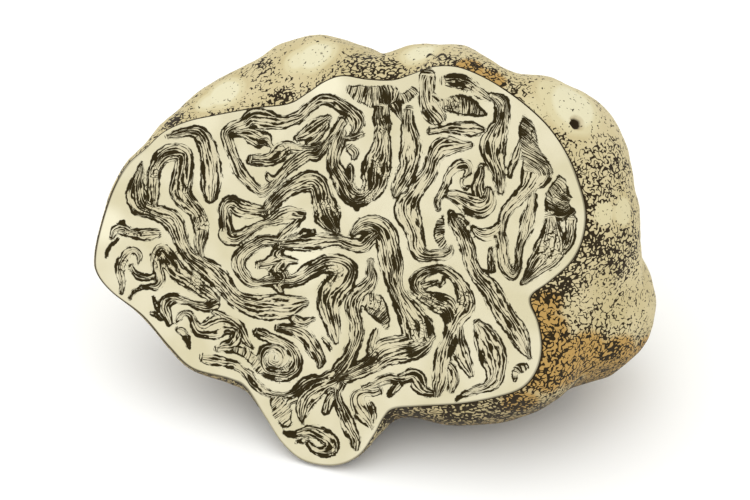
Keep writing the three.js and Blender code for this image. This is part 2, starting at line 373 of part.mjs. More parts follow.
const facing = new THREE.Vector3(
  -Math.sin(TURN_LEFT) * Math.cos(TURN_DOWN),
  -Math.sin(TURN_DOWN),
  Math.cos(TURN_LEFT) * Math.cos(TURN_DOWN),
);
const across = new THREE.Vector3(0, 1, 0).cross(facing).normalize();
const upward = facing.clone().cross(across);

// The point of the cut that shows at x, y of the drawing frame.
function onCut(x, y) {
  return new THREE.Vector3(x, y, -(facing.x * x + facing.y * y) / facing.z);
}

// Places a shape that is drawn in the cut's own plane, with z out of the cut.
const cutPlacement = new THREE.Matrix4().makeBasis(across, upward, facing);

// How far the cut's edge lies from the middle of the cut, for each angle in its plane.
function measureRim() {
  const edge = new THREE.CatmullRomCurve3(RIM.map(([x, y]) => onCut(x, y)), true, "catmullrom", 0.5);
  const samples = edge.getPoints(RIM_SAMPLES).slice(1).map((point) => ({
    angle: Math.atan2(point.dot(upward), point.dot(across)),
    reach: point.length(),
  }));
  samples.sort((a, b) => a.angle - b.angle);
  const first = samples[0];
  const last = samples[samples.length - 1];
  samples.unshift({ angle: last.angle - 2 * Math.PI, reach: last.reach });
  samples.push({ angle: first.angle + 2 * Math.PI, reach: first.reach });
  return samples;
}

const rim = measureRim();

function rimReach(azimuth) {
  const angle = Math.atan2(Math.sin(azimuth), Math.cos(azimuth));
  const after = rim.findIndex((sample) => sample.angle >= angle);
  const a = rim[after - 1];
  const b = rim[after];
  return THREE.MathUtils.mapLinear(angle, a.angle, b.angle, a.reach, b.reach);
}

// ---------------------------------------------------------------- the lobed back

const lobes = Object.values(LOBES).map(([x, y, behind, radius]) => {
  const centre = onCut(x, y);
  centre.z -= behind;
  return { centre, radius };
});

// Distance from the skin of all the lobes run together, negative inside.
function lobeDistance(point) {
  let sum = 0;
  for (const { centre, radius } of lobes) {
    sum += Math.exp(-LOBE_BLEND * (point.distanceTo(centre) - radius));
  }
  return -Math.log(sum) / LOBE_BLEND;
}

// How far the lobes reach from the middle of the cut in one direction.
function lobeReach(direction) {
  let inside = 0;
  let outside = FARTHEST;
  const halvings = 30;
  for (let i = 0; i < halvings; i += 1) {
    const middle = (inside + outside) / 2;
    if (lobeDistance(direction.clone().multiplyScalar(middle)) < 0) {
      inside = middle;
    } else {
      outside = middle;
    }
  }
  return inside;
}

function ripple(point) {
  const turn = (2 * Math.PI) / RIPPLE.pitch;
  const acrossWave = Math.sin(turn * point.x + 1.1) * Math.sin(turn * point.y + 0.4);
  return RIPPLE.height * acrossWave * Math.sin(turn * point.z + 2.3);
}

// A point of the skin: azimuth runs round the cut's edge, and tilt from the middle of the back, 0, to
// the edge, a right angle.
function skinPoint(azimuth, tilt) {
  const outward = across.clone().multiplyScalar(Math.cos(azimuth));
  outward.addScaledVector(upward, Math.sin(azimuth));
  const direction = facing.clone().multiplyScalar(-Math.cos(tilt)).addScaledVector(outward, Math.sin(tilt));
  const reach = lobeReach(direction);
  const nearRim = THREE.MathUtils.smoothstep(1 - (Math.PI / 2 - tilt) / RIM_FADE, 0, 1);
  const toRim = nearRim * (rimReach(azimuth) - lobeReach(outward));
  const point = direction.multiplyScalar(reach + toRim);
  return point.addScaledVector(point.clone().normalize(), (1 - nearRim) * ripple(point));
}

// The closed half: rows of 6, 12, 18... skin points round the middle of the back, and a flat cut.
function halfGeometry() {
  const points = [skinPoint(0, 0)];
  const faces = [];
  let rowStart = 1;
  let innerStart = 0;
  for (let row = 1; row <= RINGS; row += 1) {
    const count = 6 * row;
    const innerCount = Math.max(1, 6 * (row - 1));
    for (let i = 0; i < count; i += 1) {
      points.push(skinPoint((2 * Math.PI * i) / count, (Math.PI / 2) * (row / RINGS)));
    }
    for (let sector = 0; sector < 6; sector += 1) {
      for (let i = 0; i < row; i += 1) {
        const a = rowStart + ((sector * row + i) % count);
        const b = rowStart + ((sector * row + i + 1) % count);
        const c = innerStart + ((sector * (row - 1) + i) % innerCount);
        faces.push(a, c, b);
        if (i < row - 1) {
          const d = innerStart + ((sector * (row - 1) + i + 1) % innerCount);
          faces.push(b, c, d);
        }
      }
    }
    innerStart = rowStart;
    rowStart += count;
  }
  const edge = points.slice(innerStart).map(
    (point) => new THREE.Vector2(point.dot(across), point.dot(upward)),
  );
  for (const triangle of THREE.ShapeUtils.triangulateShape(edge, [])) {
    faces.push(...triangle.map((corner) => innerStart + corner));
  }
  const geometry = new THREE.BufferGeometry().setFromPoints(points);
  geometry.setIndex(faces);
  return geometry;
}

// ---------------------------------------------------------------- the flesh

// How far x, y lies inside the nearest band of dark flesh, negative outside it.
function fleshDepth(x, y) {
  let deepest = -Infinity;
  for (const route of Object.values(FLESH)) {
    for (let i = 1; i < route.length; i += 1) {
      const [ax, ay, aWidth] = route[i - 1];
      const [bx, by, bWidth] = route[i];
      const along = ((x - ax) * (bx - ax) + (y - ay) * (by - ay)) / ((bx - ax) ** 2 + (by - ay) ** 2);
      const t = THREE.MathUtils.clamp(along, 0, 1);
      const away = Math.hypot(x - ax - t * (bx - ax), y - ay - t * (by - ay));
      deepest = Math.max(deepest, (aWidth + t * (bWidth - aWidth)) / 2 - away);
    }
  }
  return deepest;
}

// Walks the flesh's edge through a square grid, and gives its closed loops with the flesh on the left.
function fleshLoops() {
  const xs = RIM.map(([x]) => x);
  const ys = RIM.map(([, y]) => y);
  const left = Math.min(...xs);
  const bottom = Math.min(...ys);
  const columns = Math.ceil((Math.max(...xs) - left) / FLESH_STEP) + 1;
  const rows = Math.ceil((Math.max(...ys) - bottom) / FLESH_STEP) + 1;
  const depth = [];
  for (let row = 0; row < rows; row += 1) {
    for (let column = 0; column < columns; column += 1) {
      depth.push(fleshDepth(left + column * FLESH_STEP, bottom + row * FLESH_STEP));
    }
  }
  const at = (column, row) => depth[row * columns + column];

  // The crossing on a grid edge, named by the edge so that neighbouring squares share it.
  function crossing(c0, r0, c1, r1) {
    const t = at(c0, r0) / (at(c0, r0) - at(c1, r1));
    const x = left + (c0 + t * (c1 - c0)) * FLESH_STEP;
    const y = bottom + (r0 + t * (r1 - r0)) * FLESH_STEP;
    const name = `${Math.min(c0, c1)},${Math.min(r0, r1)},${r0 === r1 ? "h" : "v"}`;
    return { name, point: [x, y] };
  }

  const next = new Map();
  for (let row = 0; row < rows - 1; row += 1) {
    for (let column = 0; column < columns - 1; column += 1) {
      const corners = [
        [column, row],
        [column + 1, row],
        [column + 1, row + 1],
        [column, row + 1],
      ];
      const leaving = [];
      const entering = [];
      corners.forEach(([c, r], i) => {
        const [nc, nr] = corners[(i + 1) % 4];
        const here = at(c, r) > 0;
        const there = at(nc, nr) > 0;
        if (here && !there) {
          leaving.push(crossing(c, r, nc, nr));
        } else if (!here && there) {
          entering.push(crossing(c, r, nc, nr));
        }
      });
      // Round the square, the flesh's edge goes in where the flesh ends and out where it starts again.
      leaving.forEach((from, i) => {
        const to = leaving.length === 2 && at(column, row) > 0 ? entering[(i + 1) % 2] : entering[i];
        next.set(from.name, { point: from.point, to: to.name });
      });
    }
  }

  const loops = [];
  while (next.size > 0) {
    const loop = [];
    let name = next.keys().next().value;
    while (next.has(name)) {
      const { point, to } = next.get(name);
      loop.push(point);
      next.delete(name);
      name = to;
    }
    loops.push(loop);
  }
  return loops;
}

// Leaves out the points of a run that a straight line misses by less than the tolerance.
function straightened(points) {
  const [ax, ay] = points[0];
  const [bx, by] = points[points.length - 1];
  const length = Math.hypot(bx - ax, by - ay);
  let worst = 0;
  let worstAway = EDGE_TOLERANCE;
  for (let i = 1; i < points.length - 1; i += 1) {
    const [x, y] = points[i];
    const away = length > 0
      ? Math.abs((bx - ax) * (y - ay) - (by - ay) * (x - ax)) / length
      : Math.hypot(x - ax, y - ay);
    if (away > worstAway) {
      worst = i;
      worstAway = away;
    }
  }
  if (worst === 0) {
    return [points[0], points[points.length - 1]];
  }
  const before = straightened(points.slice(0, worst + 1));
  const after = straightened(points.slice(worst));
  return [...before.slice(0, -1), ...after];
}

function straightenedLoop(loop) {
  const half = Math.floor(loop.length / 2);
  const there = straightened(loop.slice(0, half + 1));
  const back = straightened([...loop.slice(half), loop[0]]);
  return [...there.slice(0, -1), ...back.slice(0, -1)];
}

// A straight-walled block over one loop, from below the cut to above it.
function loopBlock(loop, below, above) {
  const corners = loop.map(([x, y]) => {
    const point = onCut(x, y);
    return new THREE.Vector2(point.dot(across), point.dot(upward));
  });
  const block = new THREE.ExtrudeGeometry(new THREE.Shape(corners), {
    depth: below + above,
    bevelEnabled: false,
  });
  block.translate(0, 0, -below);
  return block.applyMatrix4(cutPlacement);
}

// ---------------------------------------------------------------- joining and cutting

const wasm = await Module();
wasm.setup();

function toSolid(geometry) {
  const bare = geometry.clone();
  bare.deleteAttribute("normal");
  bare.deleteAttribute("uv");
  const merged = mergeVertices(bare);
  const vertProperties = new Float32Array(merged.attributes.position.array);
  const triVerts = new Uint32Array(merged.index.array);
  return new wasm.Manifold(new wasm.Mesh({ numProp: 3, vertProperties, triVerts }));
}

function toGeometry(solid) {
  const { vertProperties, triVerts } = solid.getMesh();
  const geometry = new THREE.BufferGeometry();
  geometry.setAttribute("position", new THREE.BufferAttribute(vertProperties, 3));
  geometry.setIndex(new THREE.BufferAttribute(triVerts, 1));
  geometry.computeVertexNormals();
  return geometry;
}

// Everything that is sunk into the cut: patches of flesh, less the islands of vein inside them.
function fleshCutter() {
  const signedArea = (loop) => THREE.ShapeUtils.area(loop.map(([x, y]) => new THREE.Vector2(x, y)));
  const loops = fleshLoops()
    .map((loop) => ({ loop: straightenedLoop(loop), area: signedArea(loop) }))
    .filter(({ area }) => Math.abs(area) > FLESH_SMALLEST)
    .sort((a, b) => Math.abs(b.area) - Math.abs(a.area));
  const islandExtra = 0.2;
  let cutter = null;
  for (const { loop, area } of loops) {
    if (area > 0) {
      const patch = toSolid(loopBlock(loop, FLESH_SINK, CUTTER_PROUD));
      cutter = cutter ? cutter.add(patch) : patch;
    } else {
      const island = toSolid(loopBlock(loop, FLESH_SINK + islandExtra, CUTTER_PROUD + islandExtra));
      cutter = cutter.subtract(island);
    }
  }
  return cutter;
}

function pitCutter([azimuth, tilt, radius]) {
  const ball = new THREE.SphereGeometry(radius, PIT_SEGMENTS, PIT_SEGMENTS / 2);
  const place = skinPoint(azimuth * DEG, tilt * DEG);
  return toSolid(ball.translate(place.x, place.y, place.z));
}

// Takes off what would lie below the floor, which leaves the small flats that the half rests on.
function floorCutter() {
  const wide = 4 * FARTHEST;
  return toSolid(new THREE.BoxGeometry(wide, wide, wide).translate(0, 0, -wide / 2));
}

function buildHalf() {
  let half = toSolid(halfGeometry());
  half = half.subtract(fleshCutter());
  for (const pit of PITS) {
    half = half.subtract(pitCutter(pit));
  }
  const standing = toGeometry(half)
    .rotateX(Math.PI / 2 - READER_LIFT)
    .translate(...STAND);
  return toGeometry(toSolid(standing).subtract(floorCutter()));
}

// ---------------------------------------------------------------- the scene graph

const fungus = new THREE.MeshStandardMaterial({ color: 0xd9cba0, roughness: 0.75, metalness: 0 });

const half = new THREE.Mesh(buildHalf(), fungus);
half.name = "truffle_half";

const group = new THREE.Group();
group.add(half);

export default group;
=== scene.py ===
# %% [markdown]
# # Half of a white truffle
# A white truffle (*Tuber magnatum*) is a fungus that ripens under the ground. Its skin, the peridium, is
# smooth to finely rough and pale tan. Inside, the gleba is a maze of dark spore-bearing flesh with pale
# sterile veins between. This truffle was cut once through its widest part, and the half lies on its lobed
# back with the cut turned up and forward.
#
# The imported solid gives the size, the outline and the place. This lesson builds one fine closed mesh in
# the same space, writes on it where the flesh runs, and gives it two finishes: peridium and gleba.

# %% Load the frame
import math

import bmesh
import bpy
import numpy as np
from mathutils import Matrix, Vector, noise


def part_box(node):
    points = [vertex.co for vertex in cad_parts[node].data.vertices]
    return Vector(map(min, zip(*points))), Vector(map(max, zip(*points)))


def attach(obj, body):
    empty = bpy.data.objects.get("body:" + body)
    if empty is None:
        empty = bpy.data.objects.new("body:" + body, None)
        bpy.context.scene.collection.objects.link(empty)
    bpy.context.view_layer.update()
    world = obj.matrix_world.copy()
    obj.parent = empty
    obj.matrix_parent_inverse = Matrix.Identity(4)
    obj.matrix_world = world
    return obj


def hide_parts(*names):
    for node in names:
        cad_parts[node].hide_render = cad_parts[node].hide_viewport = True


MM = 0.001

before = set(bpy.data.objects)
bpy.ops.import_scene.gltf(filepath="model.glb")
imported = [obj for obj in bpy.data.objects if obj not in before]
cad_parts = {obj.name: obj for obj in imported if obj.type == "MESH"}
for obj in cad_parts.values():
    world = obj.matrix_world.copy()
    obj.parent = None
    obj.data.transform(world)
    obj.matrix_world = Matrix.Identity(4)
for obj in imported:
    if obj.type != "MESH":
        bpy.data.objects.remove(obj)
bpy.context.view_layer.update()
low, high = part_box("truffle_half")
print("solid in mm:", [round((b - a) / MM, 2) for a, b in zip(low, high)])

# %% [markdown]
# ## How the half lies
# The shapes are easiest to give as a reader sees them: x to the right, y up, z toward the reader, in
# millimetres, with the middle of the cut at the origin. That drawing frame looks down on the table at 40
# degrees. The cut faces a little to the reader's left and down. One turn and one shift stand the finished
# mesh in the frame, just as the solid was stood, so nothing has to be fitted by eye.

# %% The drawing frame
READER_LIFT = math.radians(40)
TURN_LEFT = math.radians(17)
TURN_DOWN = math.radians(8)
STAND = np.array([-4.2, -5.8, 22.2])

FACING = np.array([
    -math.sin(TURN_LEFT) * math.cos(TURN_DOWN),
    -math.sin(TURN_DOWN),
    math.cos(TURN_LEFT) * math.cos(TURN_DOWN),
])
ACROSS = np.cross([0.0, 1.0, 0.0], FACING)
ACROSS /= np.linalg.norm(ACROSS)
UPWARD = np.cross(FACING, ACROSS)


def length_of(vectors):
    return np.linalg.norm(vectors, axis=-1)


def spokes(azimuth):
    """Directions in the cut's plane, by angle round its middle."""
    return np.cos(azimuth)[:, None] * ACROSS + np.sin(azimuth)[:, None] * UPWARD


def on_cut(x, y):
    """The points of the cut's plane that a reader sees at x, y."""
    return np.stack([x, y, -(FACING[0] * x + FACING[1] * y) / FACING[2]], axis=-1)


def stood(points):
    """Turns points of the drawing frame upright and onto the table."""
    x, y, z = np.moveaxis(points, -1, 0)
    lift, fall = math.sin(READER_LIFT), math.cos(READER_LIFT)
    return np.stack([x, y * lift - z * fall, y * fall + z * lift], axis=-1) + STAND


print("the cut faces", FACING.round(3))

# %% [markdown]
# ## The edge of the cut
# The cut's edge is the skin's outline where the knife went through: a closed curve with shallow bays
# between the lobes. A Bezier curve object could hold it, but the mesh needs to ask "how far out is the
# edge in this direction?", so a smooth curve through the listed points is sampled and sorted by angle.

# %% The rim
RIM = [
    (-28.3, -0.7), (-27.6, 2.8), (-26.2, 7.0), (-24.5, 9.9), (-22.3, 11.8), (-20.2, 13.7), (-17.5, 14.9),
    (-14.3, 15.6), (-9.8, 16.4), (-5.8, 16.9), (-3.5, 18.2), (-1.5, 19.5), (0.5, 20.1), (3.2, 19.7),
    (6.2, 19.6), (8.5, 20.3), (10.8, 21.1), (13.5, 21.1), (16.2, 20.1), (18.8, 18.6), (21.5, 16.6),
    (24.0, 14.2), (26.0, 11.3), (27.4, 8.2), (28.3, 4.7), (28.0, 1.5), (26.7, -1.2), (24.2, -3.5),
    (22.3, -4.9), (22.0, -6.1), (22.9, -8.3), (23.3, -11.2), (22.7, -13.8), (21.0, -15.8), (17.8, -16.9),
    (13.8, -17.6), (9.3, -17.9), (6.3, -18.2), (5.1, -19.3), (4.0, -21.3), (2.2, -23.7), (-0.5, -24.8),
    (-4.0, -24.3), (-6.5, -22.3), (-8.5, -19.3), (-10.7, -15.9), (-12.7, -14.8), (-17.0, -13.6),
    (-19.7, -11.1), (-22.8, -7.5), (-26.3, -4.8), (-28.0, -2.7),
]
RIM_STEPS = 28


def smooth_route(points, steps, closed=False):
    """A curve through every point (Catmull-Rom), with this many steps from each to the next."""
    points = np.array(points, dtype=float)
    if closed:
        padded = np.vstack([points[-1:], points, points[:2]])
    else:
        padded = np.vstack([2 * points[0] - points[1], points, 2 * points[-1] - points[-2]])
    before, here, there, after = padded[:-3], padded[1:-2], padded[2:-1], padded[3:]
    t = (np.arange(steps) / steps)[:, None, None]
    bend = (
        2 * here
        + (there - before) * t
        + (2 * before - 5 * here + 4 * there - after) * t**2
        + (3 * here - before - 3 * there + after) * t**3
    ) / 2
    route = bend.transpose(1, 0, 2).reshape(-1, points.shape[1])
    return route if closed else np.vstack([route, points[-1:]])


edge_drawn = smooth_route(RIM, RIM_STEPS, closed=True)
edge = on_cut(edge_drawn[:, 0], edge_drawn[:, 1])
edge_angle = np.arctan2(edge @ UPWARD, edge @ ACROSS)
edge = edge[np.argsort(edge_angle)]
edge_angle = np.sort(edge_angle)


def rim_reach(azimuth):
    """How far the cut's edge lies from its middle, for angles round the cut."""
    return np.interp(azimuth, edge_angle, length_of(edge), period=2 * math.pi)


print("reach of the rim in mm:", length_of(edge).min().round(1), "to", length_of(edge).max().round(1))

# %% [markdown]
# ## The lobed back
# A truffle swells against the stones and roots round it, so its back is a cluster of lobes that run into
# each other. Metaballs or a sculpted sphere would make such a form, but neither ends in an exact cut edge.
# Here each lobe is a sphere, a soft minimum blends them, and each skin point is found on its own straight
# line out from the middle of the cut. Near the rim the skin is eased onto the edge of the cut. Low waves
# keep the lobes from looking turned. Each lobe is given as x, y, how far behind the cut, and radius.

# %% The lobes and the skin
LOBES = {
    "left_crown": (-11.8, 12.3, 5.5, 8.2),
    "middle_crown": (-2.4, 14.9, 7.0, 10.0),
    "right_crown": (11.2, 15.2, 6.0, 8.9),
    "shoulder": (23.8, 9.8, 7.0, 9.6),
    "flank": (25.3, 1.4, 8.0, 9.4),
    "heel": (27.8, -6.2, 15.5, 8.8),
    "belly": (14.0, -10.9, 7.5, 9.0),
    "belly_end": (19.4, -11.1, 9.0, 7.5),
    "instep": (4.5, -13.0, 3.5, 6.2),
    "toe": (-1.8, -17.6, 1.0, 5.8),
    "cheek": (-16.0, 0.8, 5.0, 9.1),
    "jowl": (-9.5, -6.0, 6.0, 9.0),
    "hollow": (20.0, -5.0, 8.0, 7.8),
    "heart": (4.0, 1.0, 7.0, 15.0),
    "back_top": (5.0, 8.0, 15.5, 9.5),
    "back_left_foot": (-4.5, -0.2, 20.5, 8.3),
    "back_right_foot": (19.0, -2.5, 23.6, 8.8),
}
LOBE_BLEND = 0.6
FARTHEST = 60.0
HALVINGS = 30
RIM_FADE = math.radians(20)
RIPPLE_HEIGHT = 0.22
RIPPLE_PITCH = 7.5
RIPPLE_SHIFT = [1.1, 0.4, 2.3]
LOBE_CENTRES = [on_cut(x, y) - [0, 0, behind] for x, y, behind, radius in LOBES.values()]
LOBE_RADII = [radius for x, y, behind, radius in LOBES.values()]


def lobe_distance(points):
    """Distance from the skin of all the lobes run together, negative inside."""
    pairs = zip(LOBE_CENTRES, LOBE_RADII)
    total = sum(np.exp(-LOBE_BLEND * (length_of(points - centre) - radius)) for centre, radius in pairs)
    return -np.log(total) / LOBE_BLEND


def lobe_reach(directions):
    """How far the lobes reach from the middle of the cut in each direction, by halving."""
    inside = np.zeros(len(directions))
    outside = np.full(len(directions), FARTHEST)
    for _ in range(HALVINGS):
        middle = (inside + outside) / 2
        within = lobe_distance(directions * middle[:, None]) < 0
        inside = np.where(within, middle, inside)
        outside = np.where(within, outside, middle)
    return inside


def eased(values):
    """0 below 0, 1 above 1, and a soft step between."""
    t = np.clip(values, 0, 1)
    return t * t * (3 - 2 * t)


def between(values, start, end):
    """0 up to start, 1 from end on, and a soft step between. Start may be the larger of the two."""
    return eased((values - start) / (end - start))


def skin_points(azimuth, tilt):
    """Skin points by azimuth round the cut, and tilt from the middle of the back (0) to the rim."""
    outward = spokes(azimuth)
    direction = np.sin(tilt)[:, None] * outward - np.cos(tilt)[:, None] * FACING
    near_rim = eased(1 - (math.pi / 2 - tilt) / RIM_FADE)
    reach = lobe_reach(direction) + near_rim * (rim_reach(azimuth) - lobe_reach(outward))
    points = direction * reach[:, None]
    waves = np.sin(2 * math.pi / RIPPLE_PITCH * points + RIPPLE_SHIFT).prod(axis=1)
    return points + direction * ((1 - near_rim) * RIPPLE_HEIGHT * waves)[:, None]


# %% [markdown]
# ## One closed mesh
# The half is two round nets sewn together along the rim. A net of six equal sectors, with 6, 12, 18 and
# so on points in its rows, keeps its triangles nearly the same size from the middle out, where a globe's
# net of meridians would crowd at the pole. The back net is pushed out to the lobes, and the cut net lies
# flat. A row every 0.2 mm is fine enough for pits, furrows and the sunk flesh to be real shapes.

# %% The two nets
ROWS = 128
SECTORS = 6


def row_size(row):
    return max(1, SECTORS * row)


def net_rows(last):
    """Row number and azimuth of each point, for the rows up to the last."""
    counts = [row_size(row) for row in range(last + 1)]
    rows = np.repeat(np.arange(last + 1), counts)
    turns = np.concatenate([np.arange(count) / count for count in counts])
    return rows, 2 * math.pi * turns


def net_faces(row_start):
    """Triangles between neighbouring rows, where row_start holds the first point of each row."""
    faces = []
    for row in range(1, ROWS + 1):
        outer, inner = row_start[row], row_start[row - 1]
        count, inner_count = row_size(row), row_size(row - 1)
        for sector in range(SECTORS):
            i = np.arange(row)
            a = outer + (sector * row + i) % count
            b = outer + (sector * row + i + 1) % count
            c = inner + (sector * (row - 1) + i) % inner_count
            d = inner + (sector * (row - 1) + i + 1) % inner_count
            faces.append(np.stack([a, c, b], axis=1))
            faces.append(np.stack([b, c, d], axis=1)[:-1])
    return np.vstack(faces)


back_row, back_azimuth = net_rows(ROWS)
cut_row, cut_azimuth = net_rows(ROWS - 1)
back_points = skin_points(back_azimuth, math.pi / 2 * back_row / ROWS)
cut_points = spokes(cut_azimuth) * (rim_reach(cut_azimuth) * cut_row / ROWS)[:, None]

row_start = np.cumsum([0] + [row_size(row) for row in range(ROWS)])
back_count = len(back_points)
rim_start = row_start[ROWS]
cut_start = row_start + back_count
cut_start[ROWS] = rim_start
back_faces = net_faces(row_start)
cut_faces = net_faces(cut_start)[:, ::-1]
points = np.vstack([back_points, cut_points])
on_back = np.arange(len(points)) < back_count
print(len(points), "points and", len(back_faces) + len(cut_faces), "triangles")

point_row = np.concatenate([back_row, cut_row])
on_rim = on_back & (point_row == ROWS)
on_cut_face = on_rim | ~on_back

# %% [markdown]
# ## The map of the flesh
# The dark flesh lies in folds: long narrow bands that turn back on themselves, branch, and end against the
# pale veins. The veins need no shapes of their own, for they are what the folds leave free. Each fold is a
# route down its middle with a width at every point, as a potter would lay a strip of clay.

